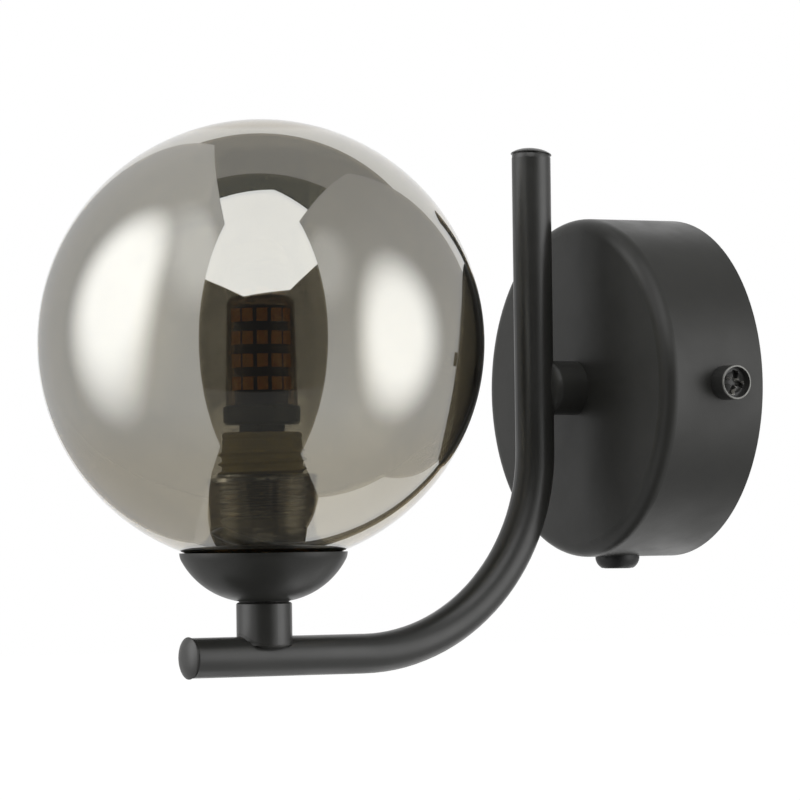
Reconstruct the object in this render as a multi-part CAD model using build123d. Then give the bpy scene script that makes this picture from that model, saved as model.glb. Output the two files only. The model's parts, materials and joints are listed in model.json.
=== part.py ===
from build123d import *
import math
import os

# Globe wall light: a drawn steel wall cup on a strap bracket, a bent tube arm, and a
# smoked glass globe that screws onto its lampholder.  Millimetres.  The wall is the
# plane y = 0, the light stands out along -Y, and +Z is up.  The origin is the centre of
# the wall cup on the wall.  The arm, both stubs and the globe share the plane x = 0.

# ---- clearances shared by pieces that seat, screw or slide ----
seat_gap = 0.05         # between curved faces that seat on each other
thread_gap = 0.10       # between a screw or nipple and its tapped hole, on the radius
pass_gap = 0.20         # round what only passes through a hole
slide_gap = 0.08        # round the push button, on the radius
rim_gap = 0.15          # between the gallery rim and the glass
neck_gap = 0.30         # between the lampholder's thread and the glass neck

# ---- wall cup ----
cup_radius = 47.1
cup_depth = 31.4
cup_wall = 1.2
cup_edge_radius = 3.9

# ---- strap bracket ----
strap_thickness = 1.6
strap_width = 20.0
strap_cup_gap = 0.5     # between the strap's corners and the cup wall
strap_bend = 1.0        # inside radius of the bends at the two ears
slot_spacing = 62.0
slot_length = 12.0
slot_width = 5.0
cable_hole_radius = 6.0

# ---- the two screws in the side of the cup ----
side_screw_radius = 2.0
side_screw_setback = 12.3
side_screw_reach = 7.0
side_head_radius = 4.7
side_head_height = 5.8
side_head_rim = 0.7
side_head_edge = 0.25
side_head_dish = 0.5
cross_width = 1.2
cross_foot_width = 0.95
cross_margin = 1.3      # from the cross recess to the edge of its head
cross_depth = 2.2
ear_margin = 5.7        # ear metal beyond the centre of its tapped hole

# ---- terminal block on the strap, left of the cable hole ----
block_offset = 15.0
block_width = 19.0
block_height = 18.0
block_depth = 9.4
block_corner = 1.2
pole_pitch = 10.0
pole_depth = 5.0        # from the strap to the centre of the brass tubes
pole_tube_radius = 2.4
pole_bore_radius = 1.5
pole_tube_length = 14.0
clamp_screw_radius = 1.3
clamp_screw_offset = 4.0
tower_width = 5.4
tower_height = 2.6
clamp_screw_sink = 0.6
clamp_slot_width = 0.65
clamp_slot_depth = 0.7
fixing_screw_radius = 1.45
fixing_head_radius = 2.6
fixing_head_height = 1.5

# ---- earth screw and its crimped tags, right of the cable hole ----
earth_offset = 15.0
earth_screw_radius = 1.95
earth_collar_radius = 3.4
earth_collar_height = 2.0
earth_head_radius = 3.5
earth_head_height = 2.2
tag_thickness = 0.8
tag_margin = 2.0
barrel_radius = 1.6
barrel_start = 1.0      # from the ring's edge to the barrel
barrel_floor = 1.0      # barrel behind the lead's end
barrel_length = 5.0     # from the ring's edge to the barrel's mouth

# ---- push switch in the bottom of the cup ----
switch_setback = 17.8
switch_body_radius = 6.8
switch_body_height = 14.0
switch_body_edge = 0.8
switch_neck_radius = 5.2
switch_collar_radius = 6.15
switch_collar_height = 3.3
switch_lip = 1.3        # collar over the button's shoulder
collar_face_radius = 4.8
collar_dome = 2.5
collar_dome_radius = 3.2
button_radius = 3.9
button_shoulder = 0.45  # what the collar holds the button in by
button_travel = 1.5
button_edge = 0.3
button_rim = 0.9
button_dish = 0.25
plunger_radius = 2.0
plunger_reach = 2.0     # plunger inside the housing at rest
tab_width = 2.8
tab_thickness = 0.6
tab_length = 5.0
tab_spacing = 5.0

# ---- arm tube and its two caps ----
tube_radius = 5.4
tube_wall = 1.0
arm_offset = 44.4       # from the wall to the axis of the upright
arm_top = 63.8          # from the cup's centre up to the end of the upright
arm_drop = 72.3         # from the cup's centre down to the axis of the level run
bend_radius = 55.3
lamp_offset = 130.3     # from the wall to the axis of globe, holder and stem
arm_overhang = 22.3     # level run beyond that axis
cap_lip = 0.25          # cap edge beyond the tube
cap_edge = 0.45
cap_dome = 1.75
cap_plug_length = 4.0
cap_plug_wall = 1.0
top_cap_tilt = 2.5      # degrees: the top cap sits a little proud on its outer side

# ---- hollow nipples, nuts and lock washers ----
nipple_radius = 5.0
nipple_bore = 3.5
nut_flats = 13.0
nut_thickness = 3.0
lock_washer_radius = 7.4
lock_washer_thickness = 0.8
nipple_past_nut = 1.5
nipple_in_holder = 6.2

# ---- boss between cup and arm, stem between arm and gallery ----
boss_radius = 7.5
boss_saddle = 0.5       # how far the boss reaches round the tube
stem_radius = 7.5
stem_height = 9.1
stem_saddle = 2.4
stem_edge = 0.4

# ---- gallery: the bowl under the globe ----
gallery_radius = 22.6
gallery_wall = 1.2
gallery_flat = 3.2
gallery_shoulder = 4.5

# ---- lampholder ----
holder_thread_radius = 12.0
holder_sleeve_radius = 10.75
holder_height = 40.0
holder_sleeve_length = 4.2
holder_edge = 0.6
holder_base_radius = 9.5
holder_base_height = 3.2
flange_radius = 15.5
flange_thickness = 1.5
holder_nut_gap = 0.1
chamber_radius = 7.2
chamber_height = 8.0
washer_thickness = 1.2
washer_radius = 18.0

# ---- glass globe, blown in one piece with its inturned neck ----
globe_radius = 60.0
glass_wall = 2.0
neck_height = 23.0
neck_mouth_radius = 14.9
neck_root_radius = 14.2
neck_flare = 5.0
glass_lip_radius = 2.6

# ---- plug-in lamp with two pins ----
lamp_skirt_wall = 0.55  # skirt outside the capsule's groove
lamp_base_height = 5.3
lamp_base_edge = 0.7
lamp_stand = 2.0        # gap between the lamp's base and the holder
lamp_neck_width = 12.5
lamp_neck_depth = 8.0
lamp_neck_sunk = 5.0
lamp_neck_edge = 1.0
cover_root_radius = 9.8
cover_top_radius = 9.1
cover_height = 29.4
cover_wall = 0.8
cover_edge = 2.6
cover_sunk = 1.6
core_gap = 0.35         # between the chips' corners and the capsule
core_margin = 0.9       # core above the top row
core_edge = 0.8
chip_columns = 12
chip_rows = 4
chip_width = 2.8
chip_height = 3.5
chip_thickness = 0.6
chip_row_pitch = 6.1
chip_first_row = 5.7
chip_turn = 4.0         # degrees
pin_spacing = 8.4
pin_wire_radius = 0.45
pin_loop_width = 2.0
pin_length = 8.0
leaf_thickness = 0.4
leaf_gap = 0.12
leaf_width = 2.6

# ---- insulated leads held inside the light ----
lead_radius = 1.0
lead_spacing = 2.6
lead_gap = 0.1
lead_bend = 5.0
tight_bend = 4.0        # beside the terminal block
arch_room = 2.4         # rise of a lead's arch, in bends
hook_room = 2.1         # rise of a tight turn, in bends
lead_setback = 13.0     # where the leads turn into the boss, from the wall
settle_steps = 60

# ---- places worked out from the sizes above ----
strap_face = -strap_thickness
cup_face = -cup_depth
cup_inner_face = cup_face + cup_wall
cup_inner_radius = cup_radius - cup_wall
strap_half = math.sqrt((cup_inner_radius - strap_cup_gap) ** 2 - (strap_width / 2) ** 2)
arm_front = lamp_offset + arm_overhang
tube_bore = tube_radius - tube_wall
tube_back = -(arm_offset - tube_radius)
tube_crest = -arm_drop + tube_radius

stem_top = tube_crest + stem_height
gallery_bottom = stem_top
holder_lift = lock_washer_thickness + nut_thickness + holder_nut_gap


def bowl_radius(rim_height):
    """Radius of the bowl's main arc, from its rim height, flat and shoulder."""
    level = gallery_radius - gallery_shoulder - gallery_flat
    rise = level ** 2 + rim_height ** 2 - gallery_shoulder ** 2
    return rise / (2 * (rim_height - gallery_shoulder))


# The glass neck turns back to the holder's thread, and the rim follows the glass.  The
# washer under the nut rests where the bowl's floor rises to meet its edge.
neck_bore = holder_thread_radius + neck_gap
glass_inner = globe_radius - glass_wall
lip_centre_drop = math.sqrt((globe_radius - glass_lip_radius) ** 2 - (neck_bore + glass_lip_radius) ** 2)
rim_inner = gallery_radius - gallery_wall
rim_drop = math.sqrt((globe_radius + rim_gap) ** 2 - rim_inner ** 2)
glass_over_rim = lip_centre_drop + glass_lip_radius - rim_drop
holder_seat = holder_base_height + flange_thickness + washer_thickness + seat_gap


def floor_rise(rim_height, radius):
    """Height of the bowl's inner face over its outer bottom, at a radius."""
    arc = bowl_radius(rim_height)
    return arc - math.sqrt((arc - gallery_wall) ** 2 - (radius - gallery_flat) ** 2)


def settle_rim():
    """Rim height at which the bowl, nut, holder and glass stack up exactly."""
    height = gallery_radius
    for _ in range(settle_steps):
        washer_seat = floor_rise(height, lock_washer_radius) + seat_gap
        height = washer_seat + holder_lift + holder_seat + glass_over_rim
    return height


gallery_height = settle_rim()
bowl_arc = bowl_radius(gallery_height)
gallery_rim = gallery_bottom + gallery_height
gallery_washer_seat = gallery_bottom + floor_rise(gallery_height, lock_washer_radius) + seat_gap
gallery_nut_seat = gallery_washer_seat + lock_washer_thickness
holder_bottom = gallery_nut_seat + nut_thickness + holder_nut_gap
holder_top = holder_bottom + holder_height
flange_bottom = holder_bottom + holder_base_height
flange_top = flange_bottom + flange_thickness
washer_top = flange_top + washer_thickness
glass_bottom = washer_top + seat_gap
globe_centre = glass_bottom + glass_lip_radius + lip_centre_drop
neck_mouth = glass_bottom + neck_height
stem_nipple_top = holder_bottom + nipple_in_holder
chamber_bottom = stem_nipple_top + pass_gap
chamber_top = chamber_bottom + chamber_height

lamp_base_radius = cover_root_radius + lamp_skirt_wall
chip_corner = cover_top_radius - cover_wall - core_gap
chip_seat = math.sqrt(chip_corner ** 2 - (chip_width / 2) ** 2) - chip_thickness
core_radius = chip_seat - seat_gap
core_height = chip_first_row + (chip_rows - 1) * chip_row_pitch + chip_height / 2 + core_margin
lamp_seat = holder_top + lamp_stand
lamp_base_top = lamp_seat + lamp_base_height
lamp_neck_bottom = holder_top - lamp_neck_sunk
pin_bottom = lamp_neck_bottom - pin_length
leaf_floor = pin_bottom - pass_gap - leaf_thickness

earth_seat = strap_face - earth_collar_height
boss_washer_seat = cup_inner_face + lock_washer_thickness
boss_tag_seat = boss_washer_seat + tag_thickness
boss_nut_end = boss_tag_seat + nut_thickness
boss_nipple_end = boss_nut_end + nipple_past_nut
pole_level = strap_face - pole_depth
block_face = strap_face - block_depth
switch_floor = -math.sqrt(cup_inner_radius ** 2 - switch_body_radius ** 2) + seat_gap
switch_tab_root = switch_floor + switch_body_height
switch_face = -cup_radius - switch_collar_height
button_top = switch_face + switch_collar_height + cup_wall
button_stop = button_top + button_travel + pass_gap
shoulder_radius = button_radius + button_shoulder


# ---- helpers ----
def rod(radius, start, end):
    """A round bar from one point to another."""
    run = Vector(*end) - Vector(*start)
    return Solid.make_cylinder(radius, run.length, Plane(Vector(*start), z_dir=run))


def block(low, high):
    """A box between two corners."""
    size = [top - bottom for bottom, top in zip(low, high)]
    return Pos(*low) * Solid.make_box(*size)


def flat_ring(outer, inner, thickness):
    """A flat ring on the plane z = 0."""
    return Solid.make_cylinder(outer, thickness) - Solid.make_cylinder(inner, thickness)


def hex_nut(hole):
    """A thin hexagon nut on z = 0."""
    prism = extrude(RegularPolygon(nut_flats / 2, 6, major_radius=False), nut_thickness)
    return prism - Solid.make_cylinder(hole, nut_thickness)


def lead(points, bends):
    """An insulated lead along straight runs joined by arcs; prints its length and bends."""
    path = FilletPolyline(*points, radius=bends)
    start = Plane(origin=path @ 0, z_dir=path % 0)
    tube = sweep(start * Circle(lead_radius), path=path)
    print("lead length", round(path.length, 1), "bends", [round(bend, 1) for bend in bends])
    print("  volume", round(tube.volume, 1), "expected", round(path.length * math.pi * lead_radius ** 2, 1))
    return tube


def cross_recess(face_radius, depth):
    """The cutter for a cross recess in a round face on z = 0, cut downwards."""
    cutter = None
    for turn in (0, 90):
        mouth = Rectangle(2 * (face_radius - cross_margin), cross_width)
        foot = Pos(0, 0, -depth) * Rectangle(cross_width, cross_foot_width)
        arm = Rot(0, 0, turn) * loft([mouth, foot])
        cutter = arm if cutter is None else cutter + arm
    return cutter


def arm_line():
    """The centre line of the arm, from its top end to its front end."""
    top = (0, -arm_offset, arm_top)
    corner = (0, -arm_offset, -arm_drop)
    front = (0, -arm_front, -arm_drop)
    return FilletPolyline(top, corner, front, radius=bend_radius)


def arm_bar(radius):
    """A solid round bar along the arm's centre line."""
    line = arm_line()
    start = Plane(origin=line @ 0, z_dir=line % 0)
    return sweep(start * Circle(radius), path=line)


# ---- wall side ----
def wall_cup():
    """Drawn cup with a rounded front edge, open at the wall."""
    outer = rod(cup_radius, (0, 0, 0), (0, cup_face, 0))
    outer = fillet(outer.edges().filter_by(GeomType.CIRCLE).sort_by(Axis.Y)[0], cup_edge_radius)
    inner = rod(cup_inner_radius, (0, 0, 0), (0, cup_inner_face, 0))
    inner = fillet(inner.edges().filter_by(GeomType.CIRCLE).sort_by(Axis.Y)[0], cup_edge_radius - cup_wall)
    cup = outer - inner
    cup -= rod(nipple_radius + pass_gap, (0, cup_inner_face + cup_wall, 0), (0, cup_face - cup_wall, 0))
    side = cup_radius + cup_wall
    cup -= rod(side_screw_radius + pass_gap, (-side, -side_screw_setback, 0), (side, -side_screw_setback, 0))
    below = (0, -switch_setback, -cup_radius - cup_wall)
    cup -= rod(switch_neck_radius + pass_gap, (0, -switch_setback, -cup_inner_radius / 2), below)
    return cup


def wall_bracket():
    """Strap with two wall slots, a cable hole and two tapped ears bent out from the wall."""
    ear_end = -(side_screw_setback + ear_margin)
    half_width = strap_width / 2
    strap = block((-strap_half, ear_end, -half_width), (strap_half, 0, half_width))
    strap = fillet(strap.edges().filter_by(Axis.Z).group_by(Axis.Y)[-1], strap_bend + strap_thickness)
    inside = strap_half - strap_thickness
    hollow = block((-inside, ear_end, -half_width), (inside, strap_face, half_width))
    hollow = fillet(hollow.edges().filter_by(Axis.Z).group_by(Axis.Y)[-1], strap_bend)
    strap -= hollow
    strap += rod(earth_collar_radius, (earth_offset, 0, 0), (earth_offset, earth_seat, 0))
    strap -= rod(earth_screw_radius + thread_gap, (earth_offset, 0, 0), (earth_offset, earth_seat, 0))
    fixing = fixing_screw_radius + thread_gap
    strap -= rod(fixing, (-block_offset, 0, 0), (-block_offset, strap_face, 0))
    strap -= rod(cable_hole_radius, (0, 0, 0), (0, strap_face, 0))
    slot = extrude(Plane.XZ * SlotOverall(slot_length, slot_width), strap_thickness)
    for side in (-1, 1):
        strap -= Pos(side * slot_spacing / 2, 0, 0) * slot
    ear = strap_half
    tapped = side_screw_radius + thread_gap
    strap -= rod(tapped, (-ear, -side_screw_setback, 0), (ear, -side_screw_setback, 0))
    return strap


def side_screw():
    """Tall round-headed screw, its cross recess in a dished face, along +Z from the cup wall."""
    head = Pos(0, 0, seat_gap) * Solid.make_cylinder(side_head_radius, side_head_height)
    face = seat_gap + side_head_height
    head = chamfer(head.edges().filter_by(GeomType.CIRCLE).sort_by(Axis.Z)[-1], side_head_edge)
    dish = side_head_radius - side_head_rim
    head -= Pos(0, 0, face - side_head_dish) * Solid.make_cylinder(dish, side_head_dish)
    head -= Pos(0, 0, face - side_head_dish) * cross_recess(dish, cross_depth)
    return head + rod(side_screw_radius, (0, 0, seat_gap), (0, 0, -side_screw_reach))


def side_screws():
    """The two screws that hold the cup on the bracket's ears."""
    screws = []
    for side in (-1, 1):
        seat = Plane(origin=(side * cup_radius, -side_screw_setback, 0), x_dir=(0, 1, 0), z_dir=(side, 0, 0))
        screws.append(seat.location * side_screw())
    return screws


def pole_places():
    """The X of each pole of the terminal block."""
    return [-block_offset + side * pole_pitch / 2 for side in (-1, 1)]


def terminal_block():
    """Two-pole block with a square screw tower over each clamp and a counterbored fixing hole."""
    low = (-block_offset - block_width / 2, block_face, -block_height / 2)
    high = (-block_offset + block_width / 2, strap_face, block_height / 2)
    body = block(low, high)
    body = chamfer(body.edges().filter_by(Axis.Y), block_corner)
    half = tower_width / 2
    tower_top = block_face - tower_height
    for place in pole_places():
        for side in (-1, 1):
            level = side * clamp_screw_offset
            low = (place - half, tower_top, level - half)
            high = (place + half, block_face, level + half)
            body += block(low, high)
    tube_end = pole_tube_length / 2 + seat_gap
    for place in pole_places():
        tube_room = pole_tube_radius + seat_gap
        mouth = (place, pole_level, -block_height / 2)
        body -= rod(tube_room, mouth, (place, pole_level, tube_end))
        body -= rod(pole_bore_radius, (place, pole_level, 0), (place, pole_level, block_height / 2))
        for side in (-1, 1):
            level = side * clamp_screw_offset
            centre = (place, pole_level, level)
            body -= rod(clamp_screw_radius + thread_gap, centre, (place, tower_top, level))
    foot = (-block_offset, strap_face, 0)
    face = (-block_offset, block_face, 0)
    body -= rod(fixing_screw_radius + pass_gap, foot, face)
    head_seat = (-block_offset, block_face + fixing_head_height, 0)
    return body - rod(fixing_head_radius + pass_gap, head_seat, face)


def terminal_tubes():
    """The brass tube of each pole, drilled for its two clamp screws."""
    tubes = []
    half = pole_tube_length / 2
    for place in pole_places():
        tube = rod(pole_tube_radius, (place, pole_level, -half), (place, pole_level, half))
        tube -= rod(pole_bore_radius, (place, pole_level, -half), (place, pole_level, half))
        for side in (-1, 1):
            centre = (place, pole_level, side * clamp_screw_offset)
            front = (place, pole_level - pole_tube_radius, side * clamp_screw_offset)
            tube -= rod(clamp_screw_radius + thread_gap, centre, front)
        tubes.append(tube)
    return tubes


def terminal_screws():
    """The four slotted clamp screws."""
    screws = []
    tip = pole_level - lead_radius - seat_gap
    top = block_face - tower_height + clamp_screw_sink
    for place in pole_places():
        for side in (-1, 1):
            level = side * clamp_screw_offset
            screw = rod(clamp_screw_radius, (place, tip, level), (place, top, level))
            low = (place - clamp_screw_radius, top, level - clamp_slot_width / 2)
            high = (place + clamp_screw_radius, top + clamp_slot_depth, level + clamp_slot_width / 2)
            screws.append(screw - block(low, high))
    return screws


def terminal_fixing_screw():
    """The screw that holds the block to the strap."""
    seat = block_face + fixing_head_height
    shank = rod(fixing_screw_radius, (-block_offset, -seat_gap, 0), (-block_offset, seat, 0))
    head = rod(fixing_head_radius, (-block_offset, seat, 0), (-block_offset, block_face, 0))
    recess = Plane(origin=(-block_offset, block_face, 0), z_dir=(0, -1, 0))
    return shank + head - recess.location * cross_recess(fixing_head_radius, fixing_head_height / 2)


def earth_screw():
    """Cross-head screw in the strap's tapped collar, short enough to stay off the wall."""
    seat = earth_seat - tag_thickness
    top = seat - earth_head_height
    shank = rod(earth_screw_radius, (earth_offset, -seat_gap, 0), (earth_offset, seat, 0))
    head = rod(earth_head_radius, (earth_offset, seat, 0), (earth_offset, top, 0))
    head = chamfer(head.edges().filter_by(GeomType.CIRCLE).sort_by(Axis.Y)[0], earth_head_height / 3)
    recess = Plane(origin=(earth_offset, top, 0), z_dir=(0, -1, 0))
    return shank + head - recess.location * cross_recess(earth_head_radius, earth_head_height / 2)


def tag_floor(hole):
    """From a tag's hole centre to the closed end of its barrel's bore."""
    return hole + tag_margin + barrel_start + barrel_floor


def ring_tag(hole, middle):
    """A crimp tag on z = 0: a flat ring with its barrel along +Y, the barrel's axis at middle."""
    outer = hole + tag_margin
    end = outer + barrel_length
    tag = Solid.make_cylinder(outer, tag_thickness)
    tag += rod(barrel_radius, (0, outer + barrel_start, middle), (0, end, middle))
    tag += block((-barrel_radius, 0, 0), (barrel_radius, outer + barrel_start, tag_thickness))
    tag -= Solid.make_cylinder(hole, tag_thickness)
    return tag - rod(lead_radius + lead_gap, (0, tag_floor(hole), middle), (0, end, middle))


def tag_plane(x, y):
    """The plane of a crimp tag whose ring lies against y, its barrel pointing up."""
    return Plane(origin=(x, y, 0), x_dir=(-1, 0, 0), z_dir=(0, 1, 0))


def earth_tags():
    """The earth lead's two tags: on the strap's collar and under the boss nut."""
    strap_tag = ring_tag(earth_screw_radius + pass_gap, tag_thickness / 2)
    boss_tag = ring_tag(nipple_radius + pass_gap, barrel_radius)
    at_strap = tag_plane(earth_offset, earth_seat - tag_thickness)
    at_boss = tag_plane(0, boss_washer_seat)
    return [at_strap.location * strap_tag, at_boss.location * boss_tag]


def earth_lead():
    """Arches from the strap's tag to the tag under the boss nut."""
    strap_level = earth_seat - tag_thickness / 2
    boss_level = boss_washer_seat + barrel_radius
    strap_end = tag_floor(earth_screw_radius + pass_gap) + lead_gap
    boss_end = tag_floor(nipple_radius + pass_gap) + lead_gap
    crown = boss_end + barrel_length + arch_room * lead_bend
    points = [
        (earth_offset, strap_level, strap_end),
        (earth_offset, strap_level, crown),
        (0, boss_level, crown),
        (0, boss_level, boss_end),
    ]
    return lead(points, [lead_bend, lead_bend])


# ---- push switch ----
def switch_body():
    """Closed switch housing with the threaded neck that passes through the cup."""
    top = switch_floor + switch_body_height
    body = rod(switch_body_radius, (0, -switch_setback, switch_floor), (0, -switch_setback, top))
    body = chamfer(body.edges().filter_by(GeomType.CIRCLE).sort_by(Axis.Z)[-1], switch_body_edge)
    neck_end = (0, -switch_setback, switch_face + switch_lip + seat_gap)
    body += rod(switch_neck_radius, (0, -switch_setback, switch_floor), neck_end)
    body -= rod(shoulder_radius + slide_gap, (0, -switch_setback, button_stop), neck_end)
    plunger_room = button_stop + plunger_reach + button_travel + pass_gap
    guide = plunger_radius + slide_gap
    return body - rod(guide, (0, -switch_setback, plunger_room), (0, -switch_setback, button_stop))


def switch_button():
    """Round button with a dished face, a shoulder behind the collar and a plunger."""
    shoulder = switch_face + switch_lip + seat_gap
    button = rod(button_radius, (0, -switch_setback, switch_face), (0, -switch_setback, button_top))
    button = chamfer(button.edges().filter_by(GeomType.CIRCLE).sort_by(Axis.Z)[0], button_edge)
    dish = button_radius - button_rim
    ball = (dish ** 2 + button_dish ** 2) / (2 * button_dish)
    button -= Pos(0, -switch_setback, switch_face + button_dish - ball) * Solid.make_sphere(ball, angle1=-90)
    button += rod(shoulder_radius, (0, -switch_setback, shoulder), (0, -switch_setback, button_top))
    plunger = button_stop + plunger_reach
    return button + rod(plunger_radius, (0, -switch_setback, button_top), (0, -switch_setback, plunger))


def switch_collar():
    """Domed ring nut on the switch neck, cut to sit on the round cup."""
    rise = switch_collar_height + cup_wall
    root = (switch_collar_radius, rise)
    waist = (switch_collar_radius, collar_dome)
    edge = (collar_face_radius, 0)
    side = Line(root, waist)
    dome = RadiusArc(waist, edge, -collar_dome_radius)
    mouth = button_radius + slide_gap
    neck = switch_neck_radius + thread_gap
    rest = Polyline(edge, (mouth, 0), (mouth, switch_lip), (neck, switch_lip), (neck, rise), root)
    outline = Plane.XZ * make_face([side, dome, rest])
    collar = Pos(0, -switch_setback, switch_face) * revolve(outline, axis=Axis.Z)
    return collar - rod(cup_radius + seat_gap, (0, 0, 0), (0, cup_face * 2, 0))


def switch_tabs():
    """The switch's two solder tabs."""
    tabs = []
    for side in (-1, 1):
        middle = side * tab_spacing / 2
        low = (middle - tab_width / 2, -switch_setback - tab_thickness / 2, switch_tab_root)
        high = (middle + tab_width / 2, -switch_setback + tab_thickness / 2, switch_tab_root + tab_length)
        tabs.append(block(low, high))
    return tabs


# ---- boss and arm ----
def wall_boss():
    """Round spacer from the cup's face to the arm, saddled on the tube."""
    boss = rod(boss_radius, (0, cup_face, 0), (0, tube_back - boss_saddle, 0))
    boss -= rod(nipple_radius + pass_gap, (0, cup_face, 0), (0, -arm_offset, 0))
    return boss - arm_bar(tube_radius + seat_gap)


def boss_nipple():
    """Hollow threaded nipple from the arm through boss and cup."""
    foot = (0, tube_back - boss_saddle, 0)
    nipple = rod(nipple_radius, (0, boss_nipple_end, 0), foot)
    nipple -= rod(nipple_bore, (0, boss_nipple_end, 0), foot)
    return nipple - arm_bar(tube_radius + seat_gap)


def boss_lock_washer():
    seat = Plane(origin=(0, cup_inner_face, 0), z_dir=(0, 1, 0))
    return seat.location * flat_ring(lock_washer_radius, nipple_radius + pass_gap, lock_washer_thickness)


def boss_nut():
    seat = Plane(origin=(0, boss_tag_seat, 0), z_dir=(0, 1, 0))
    return seat.location * hex_nut(nipple_radius + thread_gap)


def arm_tube():
    """Bent tube with one lead hole towards the boss and one up into the stem."""
    tube = arm_bar(tube_radius) - arm_bar(tube_bore)
    tube -= rod(nipple_bore, (0, -arm_offset, 0), (0, -arm_offset + 2 * tube_radius, 0))
    stem_hole = (0, -lamp_offset, -arm_drop + 2 * tube_radius)
    return tube - rod(nipple_bore, (0, -lamp_offset, -arm_drop), stem_hole)


def end_cap():
    """Domed cap with a plug, seated on z = 0."""
    radius = tube_radius + cap_lip
    dome_radius = (radius ** 2 + cap_dome ** 2) / (2 * cap_dome)
    top = cap_edge + cap_dome
    plug = tube_bore - seat_gap - cap_plug_length * math.sin(math.radians(top_cap_tilt))
    hollow = plug - cap_plug_wall
    dome = RadiusArc((0, top), (radius, cap_edge), dome_radius)
    rest = Polyline(
        (radius, cap_edge),
        (radius, 0),
        (plug, 0),
        (plug, -cap_plug_length),
        (hollow, -cap_plug_length),
        (hollow, cap_edge / 2),
        (0, cap_edge / 2),
        (0, top),
    )
    return revolve(Plane.XZ * make_face([dome, rest]), axis=Axis.Z)


def arm_top_cap():
    """Sits tilted about its inner edge, a little open on the outer side."""
    hinge = Pos(0, tube_radius, 0)
    tilted = hinge * Rot(-top_cap_tilt, 0, 0) * Pos(0, -tube_radius, 0) * end_cap()
    return Pos(0, -arm_offset, arm_top + seat_gap) * tilted


def arm_front_cap():
    seat = Plane(origin=(0, -arm_front - seat_gap, -arm_drop), z_dir=(0, -1, 0))
    return seat.location * end_cap()


# ---- stem and gallery ----
def lamp_stem():
    """Turned stub, saddled on the level run, with a small bevel under the gallery."""
    stem = rod(stem_radius, (0, -lamp_offset, tube_crest - stem_saddle), (0, -lamp_offset, stem_top))
    stem = chamfer(stem.edges().filter_by(GeomType.CIRCLE).sort_by(Axis.Z)[-1], stem_edge)
    stem -= rod(nipple_radius + pass_gap, (0, -lamp_offset, -arm_drop), (0, -lamp_offset, stem_top))
    return stem - arm_bar(tube_radius + seat_gap)


def stem_nipple():
    """Hollow threaded nipple from the arm through stem and gallery into the lampholder."""
    foot = (0, -lamp_offset, tube_crest - stem_saddle)
    nipple = rod(nipple_radius, foot, (0, -lamp_offset, stem_nipple_top))
    nipple -= rod(nipple_bore, foot, (0, -lamp_offset, stem_nipple_top))
    return nipple - arm_bar(tube_radius + seat_gap)


def bowl_outline(offset):
    """One face of the bowl, moved inwards by offset: flat, main arc, then shoulder to the rim."""
    centre_z = gallery_bottom + bowl_arc
    shoulder_r = gallery_radius - gallery_shoulder
    main = bowl_arc - offset
    small = gallery_shoulder - offset
    lean = math.atan2(gallery_rim - centre_z, shoulder_r - gallery_flat)
    halfway = (lean - math.pi / 2) / 2
    bottom = (gallery_flat, centre_z - main)
    join = (gallery_flat + main * math.cos(lean), centre_z + main * math.sin(lean))
    along = (gallery_flat + main * math.cos(halfway), centre_z + main * math.sin(halfway))
    turn = (shoulder_r + small * math.cos(lean / 2), gallery_rim + small * math.sin(lean / 2))
    rim = (shoulder_r + small, gallery_rim)
    curve = [ThreePointArc(bottom, along, join), ThreePointArc(join, turn, rim)]
    return bottom, curve, rim


def gallery_cup():
    """Spun bowl that carries the globe's underside inside its rim."""
    outer_bottom, outer_curve, outer_rim = bowl_outline(0)
    inner_bottom, inner_curve, inner_rim = bowl_outline(gallery_wall)
    edges = [Line((0, outer_bottom[1]), outer_bottom)] + outer_curve
    edges += [Line(outer_rim, inner_rim)] + inner_curve
    edges += [Line(inner_bottom, (0, inner_bottom[1])), Line((0, inner_bottom[1]), (0, outer_bottom[1]))]
    bowl = Pos(0, -lamp_offset, 0) * revolve(Plane.XZ * make_face(edges), axis=Axis.Z)
    hole = (0, -lamp_offset, gallery_bottom + gallery_height / 2)
    return bowl - rod(nipple_radius + pass_gap, (0, -lamp_offset, gallery_bottom - gallery_wall), hole)


def gallery_lock_washer():
    ring = flat_ring(lock_washer_radius, nipple_radius + pass_gap, lock_washer_thickness)
    return Pos(0, -lamp_offset, gallery_washer_seat) * ring


def gallery_nut():
    return Pos(0, -lamp_offset, gallery_nut_seat) * hex_nut(nipple_radius + thread_gap)


# ---- lampholder ----
def leaf_half():
    """From a pin's centre to the outer face of a contact leaf."""
    return pin_wire_radius + leaf_gap + leaf_thickness


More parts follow.
